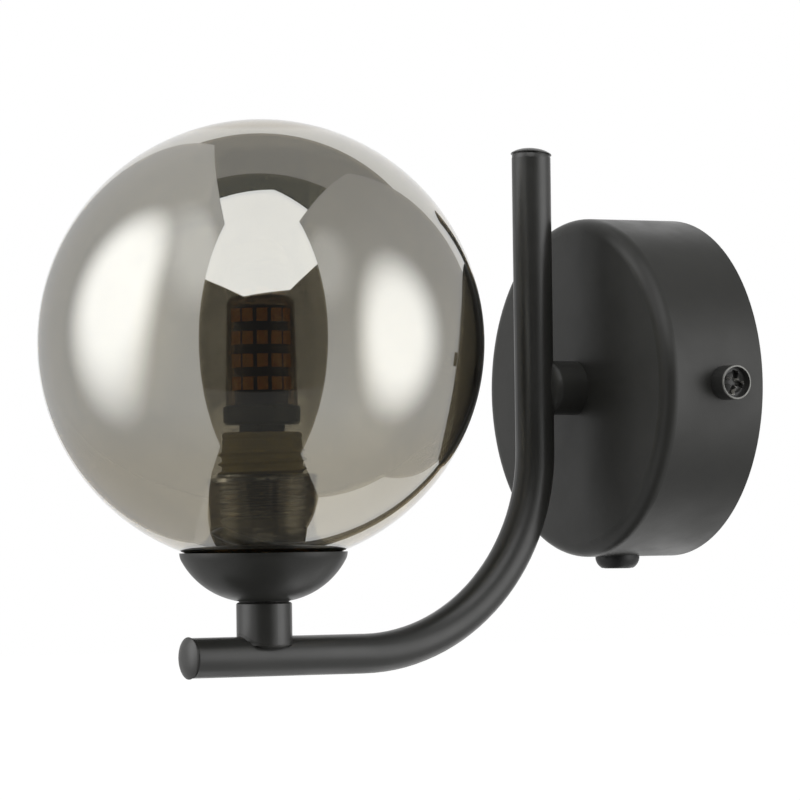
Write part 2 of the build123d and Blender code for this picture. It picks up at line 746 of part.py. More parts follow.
def lampholder_body():
    """Threaded body: sleeve, thread, flange and base outside; slot, sockets and chamber inside."""
    levels = [
        (0, holder_bottom),
        (holder_base_radius, holder_bottom),
        (holder_base_radius, flange_bottom),
        (flange_radius, flange_bottom),
        (flange_radius, flange_top),
        (holder_thread_radius, flange_top),
        (holder_thread_radius, holder_top - holder_sleeve_length),
        (holder_sleeve_radius, holder_top - holder_sleeve_length),
        (holder_sleeve_radius, holder_top),
        (0, holder_top),
        (0, holder_bottom),
    ]
    body = revolve(Plane.XZ * make_face(Polyline(*levels)), axis=Axis.Z)
    body = chamfer(body.edges().filter_by(GeomType.CIRCLE).sort_by(Axis.Z)[-1], holder_edge)
    body -= rod(nipple_radius + thread_gap, (0, 0, holder_bottom), (0, 0, chamber_bottom))
    body -= rod(chamber_radius, (0, 0, chamber_bottom), (0, 0, chamber_top))
    half_x = lamp_neck_width / 2 + pass_gap
    half_y = lamp_neck_depth / 2 + pass_gap
    floor = lamp_neck_bottom - pass_gap
    slot = block((-half_x, -half_y, floor), (half_x, half_y, holder_top))
    body -= fillet(slot.edges().filter_by(Axis.Z), lamp_neck_edge)
    across = leaf_half() + pass_gap / 2
    along = leaf_width / 2 + pass_gap
    for side in (-1, 1):
        middle = side * pin_spacing / 2
        low = (middle - along, -across, leaf_floor)
        body -= block(low, (middle + along, across, floor))
        tail = lead_radius + lead_gap
        body -= rod(tail, (middle, 0, chamber_top - pass_gap), (middle, 0, leaf_floor))
    return Pos(0, -lamp_offset, 0) * body


def lampholder_contacts():
    """Two spring clips, each a floor and two leaves beside a pin."""
    clips = []
    outer = leaf_half()
    inner = outer - leaf_thickness
    top = lamp_neck_bottom - 2 * pass_gap
    for side in (-1, 1):
        middle = side * pin_spacing / 2
        low = middle - leaf_width / 2
        high = middle + leaf_width / 2
        clip = block((low, -outer, leaf_floor), (high, outer, top))
        clip -= block((low, -inner, leaf_floor + leaf_thickness), (high, inner, top))
        clips.append(Pos(0, -lamp_offset, 0) * clip)
    return clips


# ---- globe ----
def neck_washer():
    """Soft washer between the holder's flange and the glass."""
    ring = flat_ring(washer_radius, holder_thread_radius + neck_gap, washer_thickness)
    return Pos(0, -lamp_offset, flange_top) * ring


def glass_globe():
    """Blown globe whose neck turns inwards and up, with the screw bore on its inner side."""
    top = globe_centre + globe_radius
    lip_r = neck_bore + glass_lip_radius
    lip_z = globe_centre - lip_centre_drop
    reach = globe_radius / (globe_radius - glass_lip_radius)
    outer_end = (lip_r * reach, globe_centre - lip_centre_drop * reach)
    flare_r = neck_root_radius + neck_flare
    flare_drop = math.sqrt((glass_inner - neck_flare) ** 2 - flare_r ** 2)
    flare_z = globe_centre - flare_drop
    grow = glass_inner / (glass_inner - neck_flare)
    inner_end = (flare_r * grow, globe_centre - flare_drop * grow)
    lean = math.atan2(outer_end[1] - lip_z, outer_end[0] - lip_r)
    lip_turn = (-math.pi + lean) / 2
    lip_low = (lip_r + glass_lip_radius * math.cos(lip_turn), lip_z + glass_lip_radius * math.sin(lip_turn))
    flare_lean = math.atan2(inner_end[1] - flare_z, inner_end[0] - flare_r)
    flare_turn = (-math.pi + flare_lean) / 2
    flare_low = (flare_r + neck_flare * math.cos(flare_turn), flare_z + neck_flare * math.sin(flare_turn))
    edges = [
        ThreePointArc((0, top), (globe_radius, globe_centre), outer_end),
        ThreePointArc(outer_end, lip_low, (neck_bore, lip_z)),
        Line((neck_bore, lip_z), (neck_bore, neck_mouth)),
        Line((neck_bore, neck_mouth), (neck_mouth_radius, neck_mouth)),
        Line((neck_mouth_radius, neck_mouth), (neck_root_radius, flare_z)),
        ThreePointArc((neck_root_radius, flare_z), flare_low, inner_end),
        ThreePointArc(inner_end, (glass_inner, globe_centre), (0, globe_centre + glass_inner)),
        Line((0, globe_centre + glass_inner), (0, top)),
    ]
    return Pos(0, -lamp_offset, 0) * revolve(Plane.XZ * make_face(edges), axis=Axis.Z)


# ---- lamp ----
def lamp_base():
    """Moulded base: a round skirt over the flat neck that plugs into the holder."""
    skirt = rod(lamp_base_radius, (0, 0, lamp_seat), (0, 0, lamp_base_top))
    skirt = chamfer(skirt.edges().filter_by(GeomType.CIRCLE), lamp_base_edge)
    groove_outer = cover_root_radius + seat_gap
    groove_inner = cover_root_radius - cover_wall - seat_gap
    groove = flat_ring(groove_outer, groove_inner, cover_sunk)
    skirt -= Pos(0, 0, lamp_base_top - cover_sunk) * groove
    half_x = lamp_neck_width / 2
    half_y = lamp_neck_depth / 2
    neck = block((-half_x, -half_y, lamp_neck_bottom), (half_x, half_y, lamp_seat + lamp_base_edge))
    neck = fillet(neck.edges().filter_by(Axis.Z), lamp_neck_edge)
    return Pos(0, -lamp_offset, 0) * (skirt + neck)


def cover_shape(radius_cut, lift):
    """Tapered capsule with a rounded top; radius_cut and lift shrink it for the hollow."""
    root = cover_root_radius - radius_cut
    top_radius = cover_top_radius - radius_cut
    foot = lamp_base_top - cover_sunk + seat_gap
    shape = Solid.make_cone(root, top_radius, cover_height + cover_sunk - seat_gap - lift)
    shape = fillet(shape.edges().filter_by(GeomType.CIRCLE).sort_by(Axis.Z)[-1], cover_edge - radius_cut)
    return Pos(0, 0, foot) * shape


def lamp_cover():
    """Clear capsule over the lamp's core."""
    shell = cover_shape(0, 0) - cover_shape(cover_wall, cover_wall)
    return Pos(0, -lamp_offset, 0) * shell


def lamp_core():
    """The round carrier of the light chips."""
    core = Solid.make_cylinder(core_radius, core_height)
    core = chamfer(core.edges().filter_by(GeomType.CIRCLE).sort_by(Axis.Z)[-1], core_edge)
    return Pos(0, -lamp_offset, lamp_base_top) * core


def led_chips():
    """Rows of flat light chips round the core, each just off its round face."""
    chips = []
    for row in range(chip_rows):
        level = lamp_base_top + chip_first_row + row * chip_row_pitch - chip_height / 2
        for column in range(chip_columns):
            low = (chip_seat, -chip_width / 2, level)
            chip = block(low, (chip_seat + chip_thickness, chip_width / 2, level + chip_height))
            turn = Rot(0, 0, chip_turn + column * 360 / chip_columns)
            chips.append(Pos(0, -lamp_offset, 0) * turn * chip)
    return chips


def lamp_pins():
    """The two wire loops that plug into the contacts."""
    pins = []
    half = pin_loop_width / 2
    for side in (-1, 1):
        middle = side * pin_spacing / 2
        low = pin_bottom + pin_wire_radius
        turn = low + half
        down = Line((middle - half, 0, lamp_neck_bottom), (middle - half, 0, turn))
        loop = ThreePointArc((middle - half, 0, turn), (middle, 0, low), (middle + half, 0, turn))
        up = Line((middle + half, 0, turn), (middle + half, 0, lamp_neck_bottom))
        line = Wire([down, loop, up])
        start = Plane(origin=line @ 0, z_dir=line % 0)
        pins.append(Pos(0, -lamp_offset, 0) * sweep(start * Circle(pin_wire_radius), path=line))
    return pins


# ---- leads ----
lead_side = lead_spacing / 2
lead_level = -lead_setback
lead_low = -block_height / 2 - hook_room * lead_bend
tab_top = switch_tab_root + tab_length + lead_gap


def through_arm(side):
    """The lead's points from the nipple through boss, arm and stem to its contact."""
    x = side * lead_side
    contact = side * pin_spacing / 2
    shift = abs(contact - x)
    turn_low = chamber_bottom + shift / 2
    return [
        (x, -arm_offset, 0),
        (x, -arm_offset, -arm_drop),
        (x, -lamp_offset, -arm_drop),
        (x, -lamp_offset, turn_low),
        (contact, -lamp_offset, turn_low + shift),
        (contact, -lamp_offset, leaf_floor - lead_gap),
    ]


def arm_bends():
    """The bends that match through_arm: two tight turns, the arm's own bend, and the last shift."""
    return [lead_bend, bend_radius, lead_bend, 2 * lead_radius, 2 * lead_radius]


def neutral_lead():
    """From the neutral clamp, round into the nipple and on to its contact."""
    pole = pole_places()[1]
    points = [
        (pole, pole_level, -lead_gap),
        (pole, pole_level, lead_low),
        (-lead_side, lead_level, lead_low),
        (-lead_side, lead_level, 0),
    ]
    bends = [tight_bend, tight_bend, lead_bend]
    return lead(points + through_arm(-1), bends + arm_bends())


def live_lead():
    """From the switch, up into the nipple and on to its contact."""
    tab = tab_spacing / 2
    points = [
        (tab, -switch_setback, tab_top),
        (tab, -switch_setback, tab_top + lead_bend),
        (lead_side, lead_level, tab_top + arch_room * lead_bend),
        (lead_side, lead_level, 0),
    ]
    return lead(points + through_arm(1), [lead_bend, lead_bend, lead_bend] + arm_bends())


def switch_feed_lead():
    """From the live clamp down and over to the switch."""
    pole = pole_places()[0]
    tab = -tab_spacing / 2
    crown = tab_top + hook_room * lead_bend
    points = [
        (pole, pole_level, -lead_gap),
        (pole, pole_level, lead_low),
        (tab, -switch_setback, crown),
        (tab, -switch_setback, tab_top),
    ]
    return lead(points, [tight_bend, tight_bend])


pieces = {
    "wall_cup": wall_cup(),
    "wall_bracket": wall_bracket(),
    "side_screws": side_screws(),
    "terminal_block": terminal_block(),
    "terminal_tubes": terminal_tubes(),
    "terminal_screws": terminal_screws(),
    "terminal_fixing_screw": terminal_fixing_screw(),
    "earth_screw": earth_screw(),
    "earth_tags": earth_tags(),
    "earth_lead": earth_lead(),
    "switch_body": switch_body(),
    "switch_button": switch_button(),
    "switch_collar": switch_collar(),
    "switch_tabs": switch_tabs(),
    "wall_boss": wall_boss(),
    "boss_nipple": boss_nipple(),
    "boss_lock_washer": boss_lock_washer(),
    "boss_nut": boss_nut(),
    "arm_tube": arm_tube(),
    "arm_top_cap": arm_top_cap(),
    "arm_front_cap": arm_front_cap(),
    "lamp_stem": lamp_stem(),
    "stem_nipple": stem_nipple(),
    "gallery_cup": gallery_cup(),
    "gallery_lock_washer": gallery_lock_washer(),
    "gallery_nut": gallery_nut(),
    "lampholder_body": lampholder_body(),
    "lampholder_contacts": lampholder_contacts(),
    "neck_washer": neck_washer(),
    "glass_globe": glass_globe(),
    "lamp_base": lamp_base(),
    "lamp_cover": lamp_cover(),
    "lamp_core": lamp_core(),
    "led_chips": led_chips(),
    "lamp_pins": lamp_pins(),
    "neutral_lead": neutral_lead(),
    "live_lead": live_lead(),
    "switch_feed_lead": switch_feed_lead(),
}

os.makedirs("parts", exist_ok=True)
for name, shape in pieces.items():
    if isinstance(shape, list):
        shape = Compound(children=shape)
    export_step(shape, "parts/" + name + ".step")
print("pieces", len(pieces), "globe centre", round(globe_centre, 2), "gallery rim", round(gallery_rim, 2))
print("holder top", round(holder_top, 2), "neck mouth", round(neck_mouth, 2), "bowl arc", round(bowl_arc, 2))
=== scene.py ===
import json
import math

import bmesh
import bpy
from mathutils import Matrix, Vector


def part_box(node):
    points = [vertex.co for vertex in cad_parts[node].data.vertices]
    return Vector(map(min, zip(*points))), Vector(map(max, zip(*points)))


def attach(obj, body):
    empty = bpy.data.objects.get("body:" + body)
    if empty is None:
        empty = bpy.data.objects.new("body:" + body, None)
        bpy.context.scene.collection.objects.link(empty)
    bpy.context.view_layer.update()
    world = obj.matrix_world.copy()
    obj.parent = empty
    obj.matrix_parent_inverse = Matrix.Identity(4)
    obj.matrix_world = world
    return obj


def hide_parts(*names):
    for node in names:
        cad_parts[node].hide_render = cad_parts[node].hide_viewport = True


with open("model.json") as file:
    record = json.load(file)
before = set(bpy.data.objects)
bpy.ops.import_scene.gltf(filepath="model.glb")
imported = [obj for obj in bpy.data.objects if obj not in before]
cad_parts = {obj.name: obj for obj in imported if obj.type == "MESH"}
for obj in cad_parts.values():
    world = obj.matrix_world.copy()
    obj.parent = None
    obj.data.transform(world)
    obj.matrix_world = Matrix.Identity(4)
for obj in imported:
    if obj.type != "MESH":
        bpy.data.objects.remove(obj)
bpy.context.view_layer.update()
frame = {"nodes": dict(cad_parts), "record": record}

MM = 0.001


# ---------------------------------------------------------------- sizes, in metres
LAMP_Y = -130.3 * MM            # axis of globe, holder, stem and lamp
GLOBE_R = 60.0 * MM
GLASS_WALL = 2.0 * MM
GLOBE_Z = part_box("glass_globe")[1][2] - GLOBE_R
GLOBE_AT = Vector((0.0, LAMP_Y, GLOBE_Z))
THREAD_PITCH = 2.5 * MM
THREAD_START = -17.05 * MM      # height of a holder ridge on the camera's right
NECK_GAP = 0.05 * MM            # from the washer up to the glass
NECK_LENGTH = 23.0 * MM
NECK_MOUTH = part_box("neck_washer")[1][2] + NECK_GAP + NECK_LENGTH      # height of the neck's upper end
NECK_MOUTH_R = 14.9 * MM        # outside the neck: its mouth, its root and the flare into the ball
NECK_ROOT_R = 14.2 * MM
NECK_FLARE = 5.0 * MM
NECK_EDGE = 1.2 * MM            # height of the mouth's rounding
NECK_BORE = 12.3 * MM
LIP_R = 2.6 * MM
ARM_Y = -44.4 * MM              # axis of the upright
ARM_R = 5.4 * MM
ARM_LEVEL = -72.3 * MM          # axis of the level run
ARM_TOP = 63.8 * MM
ARM_FRONT = -152.6 * MM
STUB_R = 7.5 * MM               # boss and stem
STEM_TOP = -57.8 * MM
CUP_R = 47.0 * MM

# The photograph's camera, fitted to its outlines.
VIEW_AZ = math.radians(59.92)
VIEW_EL = math.radians(-1.51)
VIEW_ROLL = math.radians(-0.73)
VIEW_DISTANCE = 1.3275
VIEW_TARGET = Vector((0.0, -0.08741, -0.00348))
VIEW_LENS = 219.02

to_camera = Vector((math.sin(VIEW_AZ) * math.cos(VIEW_EL), -math.cos(VIEW_AZ) * math.cos(VIEW_EL),
                    math.sin(VIEW_EL)))
level_right = (-to_camera).cross(Vector((0, 0, 1))).normalized()
level_up = level_right.cross(-to_camera)
view_right = math.cos(VIEW_ROLL) * level_right + math.sin(VIEW_ROLL) * level_up
view_up = -math.sin(VIEW_ROLL) * level_right + math.cos(VIEW_ROLL) * level_up
RIGHT_ANGLE = math.atan2(view_right.y, view_right.x)


def empty_nodes(owner):
    """Nodes and links of a material or world, cleared for use."""
    owner.use_nodes = True
    owner.node_tree.nodes.clear()
    return owner.node_tree.nodes, owner.node_tree.links


def new_object(name, data):
    obj = bpy.data.objects.new(name, data)
    bpy.context.scene.collection.objects.link(obj)
    return obj


# ---------------------------------------------------------------- material helpers
class Look:
    """A node material with short calls for the nodes used here."""

    sockets = {
        "color": "Base Color", "metallic": "Metallic", "rough": "Roughness", "ior": "IOR",
        "transmission": "Transmission Weight", "coat": "Coat Weight", "coat_rough": "Coat Roughness",
        "specular": "Specular IOR Level", "subsurface": "Subsurface Weight",
    }
    noise_rough = 0.55

    def __init__(self, name):
        self.mat = bpy.data.materials.new(name)
        self.nodes, self.links = empty_nodes(self.mat)
        self.out = self.nodes.new("ShaderNodeOutputMaterial")
        self.bsdf = self.nodes.new("ShaderNodeBsdfPrincipled")
        self.links.new(self.bsdf.outputs[0], self.out.inputs[0])
        self.place = self.nodes.new("ShaderNodeTexCoord").outputs["Object"]

    def set(self, **values):
        for key, value in values.items():
            if key == "color":
                value = tuple(value) + (1.0,)
                self.mat.diffuse_color = value
            self.bsdf.inputs[self.sockets[key]].default_value = value

    def feed(self, socket, value):
        """Link a socket to another node's output, or give it a constant."""
        if isinstance(value, (int, float)):
            socket.default_value = value
        elif isinstance(value, tuple):
            socket.default_value = value + (1.0,)
        else:
            self.links.new(value, socket)

    def noise(self, scale, detail, stretch=None):
        node = self.nodes.new("ShaderNodeTexNoise")
        node.inputs["Scale"].default_value = scale
        node.inputs["Detail"].default_value = detail
        node.inputs["Roughness"].default_value = self.noise_rough
        source = self.place
        if stretch is not None:
            mapping = self.nodes.new("ShaderNodeMapping")
            mapping.inputs["Scale"].default_value = stretch
            self.links.new(source, mapping.inputs["Vector"])
            source = mapping.outputs[0]
        self.links.new(source, node.inputs["Vector"])
        return node.outputs["Fac"]

    def cells(self, scale):
        node = self.nodes.new("ShaderNodeTexVoronoi")
        node.inputs["Scale"].default_value = scale
        self.links.new(self.place, node.inputs["Vector"])
        return node.outputs["Distance"]

    def ramp(self, factor, stops):
        node = self.nodes.new("ShaderNodeValToRGB")
        for element, (place, colour) in zip(node.color_ramp.elements, stops):
            element.position = place
            if not isinstance(colour, tuple):
                colour = (colour, colour, colour)
            element.color = colour + (1.0,)
        self.links.new(factor, node.inputs["Fac"])
        return node.outputs["Color"]

    def math(self, kind, first, second):
        node = self.nodes.new("ShaderNodeMath")
        node.operation = kind
        self.feed(node.inputs[0], first)
        self.feed(node.inputs[1], second)
        return node.outputs[0]

    def mix(self, factor, first, second):
        node = self.nodes.new("ShaderNodeMix")
        node.data_type = "RGBA"
        self.feed(node.inputs["Factor"], factor)
        self.feed(node.inputs["A"], first)
        self.feed(node.inputs["B"], second)
        return node.outputs["Result"]

    def vector(self, kind, first, second=None):
        node = self.nodes.new("ShaderNodeVectorMath")
        node.operation = kind
        self.links.new(first, node.inputs[0])
        if second is not None:
            node.inputs[1].default_value = second
        return node

    def from_axis(self):
        """Distance from the axis of globe and lamp."""
        shift = self.vector("SUBTRACT", self.place, (0.0, LAMP_Y, 0.0))
        flat = self.vector("MULTIPLY", shift.outputs[0], (1.0, 1.0, 0.0))
        return self.vector("LENGTH", flat.outputs[0]).outputs["Value"]

    def height(self):
        split = self.nodes.new("ShaderNodeSeparateXYZ")
        self.links.new(self.place, split.inputs[0])
        return split.outputs["Z"]

    def span(self, value, start, end, low, high):
        """Runs from low to high while the value runs from start to end."""
        node = self.nodes.new("ShaderNodeMapRange")
        for index, number in enumerate((start, end, low, high)):
            node.inputs[index + 1].default_value = number
        self.links.new(value, node.inputs["Value"])
        return node.outputs[0]

    def smoke(self, colour, density):
        node = self.nodes.new("ShaderNodeVolumeAbsorption")
        node.inputs["Color"].default_value = colour + (1.0,)
        node.inputs["Density"].default_value = density
        self.links.new(node.outputs[0], self.out.inputs["Volume"])

    def into(self, name, source):
        self.links.new(source, self.bsdf.inputs[name])

    def bump(self, height, distance, strength):
        node = self.nodes.new("ShaderNodeBump")
        node.inputs["Distance"].default_value = distance
        node.inputs["Strength"].default_value = strength
        self.links.new(height, node.inputs["Height"])
        self.into("Normal", node.outputs[0])


def scaled(colour, gain):
    return tuple(value * gain for value in colour)


def powder_coat(name, dark, pale, rough_low, rough_high, shine=0.5):
    """Matt powder coat: fine orange peel, small colour drift, a few pale specks."""
    look = Look(name)
    look.set(color=dark, rough=rough_low, ior=1.5, specular=shine)
    drift = look.ramp(look.noise(55.0, 5.0), [(0.3, dark), (0.7, pale)])
    speck = look.ramp(look.cells(420.0), [(0.0, 1.0), (0.035, 0.0)])
    few = look.ramp(look.noise(130.0, 2.0), [(0.60, 0.0), (0.66, 1.0)])
    speck_tone = tuple(3.2 * value + 0.05 for value in pale)
    look.into("Base Color", look.mix(look.math("MULTIPLY", speck, few), drift, speck_tone))
    look.into("Roughness", look.ramp(look.noise(90.0, 6.0), [(0.35, rough_low), (0.65, rough_high)]))
    grain = look.math("ADD", look.noise(2600.0, 2.0), look.math("MULTIPLY", look.noise(700.0, 2.0), 0.7))
    look.bump(grain, 0.022 * MM, 0.55)
    return look.mat


def plated(name, colour, rough):
    """Bright plated steel or brass with faint drawing lines and handling marks."""
    look = Look(name)
    look.set(color=colour, metallic=1.0, rough=rough)
    lines = look.noise(900.0, 3.0, stretch=(1.0, 1.0, 9.0))
    look.into("Base Color", look.ramp(look.noise(160.0, 5.0), [(0.3, scaled(colour, 0.82)), (0.7, colour)]))
    look.into("Roughness", look.ramp(look.noise(240.0, 5.0), [(0.3, rough), (0.7, rough + 0.18)]))
    look.bump(lines, 0.012 * MM, 0.35)
    return look.mat


def moulded(name, colour, rough, grain=1400.0, translucent=0.0):
    """Moulded plastic or ceramic: slight mottling and a fine skin."""
    look = Look(name)
    look.set(color=colour, rough=rough, subsurface=translucent)
    look.into("Base Color", look.ramp(look.noise(120.0, 4.0), [(0.3, scaled(colour, 0.86)), (0.7, colour)]))
    look.into("Roughness", look.ramp(look.noise(300.0, 4.0), [(0.3, rough), (0.7, rough + 0.12)]))
    look.bump(look.noise(grain, 3.0), 0.02 * MM, 0.5)
    return look.mat


black_metal = powder_coat("powder_black", (0.028, 0.028, 0.0254), (0.035, 0.035, 0.0318), 0.34, 0.44, 0.42)
arm_coat = powder_coat("powder_black_arm", (0.024, 0.024, 0.0218), (0.031, 0.031, 0.0282), 0.30, 0.38, 0.72)
black_screw = powder_coat("blackened_steel", (0.018, 0.018, 0.018), (0.035, 0.035, 0.033), 0.26, 0.38)
zinc = plated("zinc_plate", (0.62, 0.62, 0.60), 0.28)
brass = plated("brass_plain", (0.78, 0.58, 0.25), 0.30)
pale_plastic = moulded("nylon_pale", (0.80, 0.80, 0.76), 0.42)
black_plastic = moulded("switch_black", (0.016, 0.016, 0.016), 0.38, grain=3000.0)
cream = moulded("holder_cream", (0.62, 0.53, 0.26), 0.36, grain=900.0)
soft_white = moulded("silicone", (0.66, 0.66, 0.62), 0.55, translucent=0.2)
base_plastic = moulded("lamp_base_plastic", (0.10, 0.095, 0.07), 0.26)
carrier = moulded("lamp_carrier", (0.050, 0.036, 0.022), 0.40, grain=2200.0)
lead_blue = moulded("lead_blue", (0.05, 0.16, 0.50), 0.45)
lead_brown = moulded("lead_brown", (0.16, 0.07, 0.03), 0.45)
worn_rim = plated("worn_rim", (0.30, 0.30, 0.285), 0.45)
bare_chip = plated("bare_chip", (0.85, 0.84, 0.80), 0.42)


def striped_lead():
    """Green insulation with yellow stripes."""
    look = Look("lead_green_yellow")
    look.set(color=(0.16, 0.40, 0.06), rough=0.45)
    wave = look.nodes.new("ShaderNodeTexWave")
    wave.inputs["Scale"].default_value = 60.0
    look.links.new(look.place, wave.inputs["Vector"])
    stripe = look.ramp(wave.outputs["Fac"], [(0.48, (0.08, 0.30, 0.04)), (0.52, (0.75, 0.62, 0.05))])
    look.into("Base Color", stripe)
    look.bump(look.noise(1500.0, 3.0), 0.02 * MM, 0.5)
    return look.mat


def chip_phosphor_painted_glow():
    """Amber phosphor of the unlit lamp; its weak emission is a painted glow that brightens the chips."""
    look = Look("chip_phosphor_painted_glow")
    look.set(color=(1.0, 0.36, 0.02), rough=0.22, coat=0.5, coat_rough=0.08)
    tone = look.ramp(look.noise(420.0, 4.0), [(0.3, (0.95, 0.33, 0.015)), (0.7, (1.0, 0.55, 0.05))])
    # painted glow: a weak orange emission on the chips of the unlit lamp, which is no light source
    look.bsdf.inputs["Emission Color"].default_value = (1.0, 0.43, 0.04, 1.0)
    look.bsdf.inputs["Emission Strength"].default_value = 0.12
    look.into("Base Color", tone)
    look.bump(look.noise(1800.0, 3.0), 0.03 * MM, 0.5)
    return look.mat


def clear_capsule():
    """Smoky moulded capsule, darkest where it is looked along its wall."""
    look = Look("capsule_clear")
    look.set(color=(0.96, 0.93, 0.86), rough=0.02, transmission=1.0, ior=1.50)
    look.into("Roughness", look.ramp(look.noise(200.0, 4.0), [(0.35, 0.01), (0.7, 0.06)]))
    look.bump(look.noise(160.0, 3.0), 0.05 * MM, 0.25)
    look.smoke((0.52, 0.42, 0.30), 1000.0)
    return look.mat


def smoked_mirror():
    """Smoked glass with a thin mirror coat on the ball, thinner low down and on the neck inside."""
    look = Look("smoked_mirror_glass")
    look.set(color=(0.82, 0.81, 0.775), rough=0.0, metallic=0.42, transmission=1.0, ior=1.45)
    look.into("Base Color", look.ramp(look.noise(30.0, 3.0),
                                      [(0.3, (0.785, 0.80, 0.788)), (0.7, (0.825, 0.84, 0.828))]))
    away = look.from_axis()
    coat_outward = look.span(away, 19.5 * MM, 22.5 * MM, 0.22, 0.42)
    coat_upward = look.span(look.height(), -21.0 * MM, -7.0 * MM, 0.25, 0.42)
    look.into("Metallic", look.math("MINIMUM", coat_outward, coat_upward))
    smear = look.ramp(look.noise(60.0, 6.0), [(0.45, 0.0), (0.80, 0.02)])
    neck_haze = look.span(away, 17.5 * MM, 20.5 * MM, 0.03, 0.0)
    look.into("Roughness", look.math("ADD", smear, neck_haze))
    look.bump(look.noise(38.0, 2.0), 0.25 * MM, 0.08)
    look.smoke((0.62, 0.49, 0.24), 290.0)
    return look.mat


chips = chip_phosphor_painted_glow()
capsule = clear_capsule()
smoke = smoked_mirror()
lead_green = striped_lead()

slot_looks = {
    "black_metal": black_metal, "black_screws": black_screw, "zinc_steel": zinc, "brass": brass,
    "pale_plastic": pale_plastic, "holder_ceramic": cream, "black_plastic": black_plastic,
    "soft_washer": soft_white, "smoked_glass": smoke, "lamp_plastic": base_plastic, "clear_plastic": capsule,
    "core_board": carrier, "chip_amber": chips, "lead_blue": lead_blue, "lead_brown": lead_brown,
    "lead_green": lead_green,
}
glossy_nodes = ("arm_tube", "lamp_stem")
node_slot = {part["node"]: part["material_slot"] for part in frame["record"]["subparts"]}
for node, obj in frame["nodes"].items():
    look = arm_coat if node in glossy_nodes else slot_looks[node_slot[node]]
    if not obj.material_slots:
        obj.data.materials.append(look)
    for material_slot in obj.material_slots:
        material_slot.material = look


# ---------------------------------------------------------------- mesh helpers
def clamp(value):
    return min(1.0, max(0.0, value))


def angles(around):
    return [2 * math.pi * step / around for step in range(around)]


def band(low, high, around):
    """Faces between two rings of points, each given by its first point."""
    faces = []
    for step in range(around):
        after = (step + 1) % around
        faces.append((low + step, low + after, high + after, high + step))
    return faces


def fan(ring, tip, around):
    """Faces between a ring of points and one point."""
    return [(ring + step, ring + (step + 1) % around, tip) for step in range(around)]


def finish_mesh(name, verts, faces, look, body, sharp):
    """An object of these faces that rides on a body; edges above the angle sharp stay sharp."""
    mesh = bpy.data.meshes.new(name)
    mesh.from_pydata(verts, [], faces)
    mesh.validate()
    bm = bmesh.new()
    bm.from_mesh(mesh)
    bmesh.ops.recalc_face_normals(bm, faces=bm.faces)
    bm.to_mesh(mesh)
    bm.free()
    obj = new_object(name, mesh)
    mesh.materials.append(look)
    for polygon in mesh.polygons:
        polygon.use_smooth = True
    mesh.set_sharp_from_angle(angle=math.radians(sharp))
    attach(obj, body)
    return obj


def ring_piece(name, rows, around, look, place, sharp=40.0):
    """A closed ring of the fixture. Its section runs through the rows; a row gives a point for an angle."""
    verts = [place @ Vector(row(angle)) for row in rows for angle in angles(around)]
    faces = []
    for low in range(len(rows)):
        high = (low + 1) % len(rows)
        faces += band(low * around, high * around, around)
    return finish_mesh(name, verts, faces, look, "fixture", sharp)


def lathe_row(radius, height):
    """Row of a turned form about the local Z; sizes in mm."""
    return lambda angle: (radius * MM * math.cos(angle), radius * MM * math.sin(angle), height * MM)


def placed(origin, x_axis, z_axis):
    """Matrix that puts a local frame at the origin, with these two axes."""
    x_axis, z_axis = Vector(x_axis), Vector(z_axis)
    turn = Matrix((x_axis, z_axis.cross(x_axis), z_axis)).transposed().to_4x4()
    return Matrix.Translation(Vector(origin)) @ turn


def on_axis(radius, angle, height):
    """Point round the axis of globe and lamp."""
    return radius * math.cos(angle), LAMP_Y + radius * math.sin(angle), height


def turned(rows, around):
    """Points and faces of a skin round the lamp's axis; a row gives radius and height for an angle."""
    verts, faces = [], []
    for row in rows:
        for angle in angles(around):
            radius, height = row(angle)
            verts.append(on_axis(radius, angle, height))
    for low in range(len(rows) - 1):
        faces += band(low * around, (low + 1) * around, around)
    return verts, faces


def still(radius, height):
    """Row with the same radius and height all round."""
    return lambda angle: (radius, height)


def arc(centre_r, centre_z, size, start, end, steps, first=0):
    """Still rows along an arc in the plane of radius and height."""
    rows = []
    for step in range(first, steps + 1):
        angle = start + (end - start) * step / steps
        rows.append(still(centre_r + size * math.cos(angle), centre_z + size * math.sin(angle)))
    return rows


def ridge(phase, width):
    """Rounded ridge profile, 1 at a whole phase and 0 beyond half its width."""
    away = abs((phase + 0.5) % 1.0 - 0.5)
    return 0.5 + 0.5 * math.cos(math.pi * min(1.0, away / (width / 2)))


def thread_phase(angle, height):
    return (height - THREAD_START) / THREAD_PITCH - (angle - RIGHT_ANGLE) / (2 * math.pi)


# ---------------------------------------------------------------- glass globe with its threaded neck
BALL_STEPS, LIP_STEPS, BORE_STEPS, MOUTH_STEPS, NECK_STEPS, FLARE_STEPS = 120, 12, 100, 8, 140, 14
GLOBE_AROUND = 192
POLE = math.radians(89.7)               # where the rows end beside the pole

BORE_RIDGE = 0.85 * MM                  # rise and relative width of the bore's thread
BORE_RIDGE_WIDTH = 0.62
BORE_THREAD_TOP = 1.8 * MM              # ends of the thread, below the mouth
BORE_THREAD_END = 11.5 * MM
BORE_THREAD_FADE = 0.8 * MM

# Folds of the blown neck: bearing from the camera's right, and strength.
NECK_FOLDS = ((-2.08, 1.0), (-0.80, 0.7), (1.2, 0.8))
FOLD_DEPTH = 0.075 * MM
FOLD_WIDTH = 0.30
RING_DEPTH = 0.028 * MM
SEAM_DEPTH = 0.18 * MM
SEAM_BEARING = -1.45
NECK_INSET = 0.16 * MM                  # keeps the uneven neck inside its smooth form


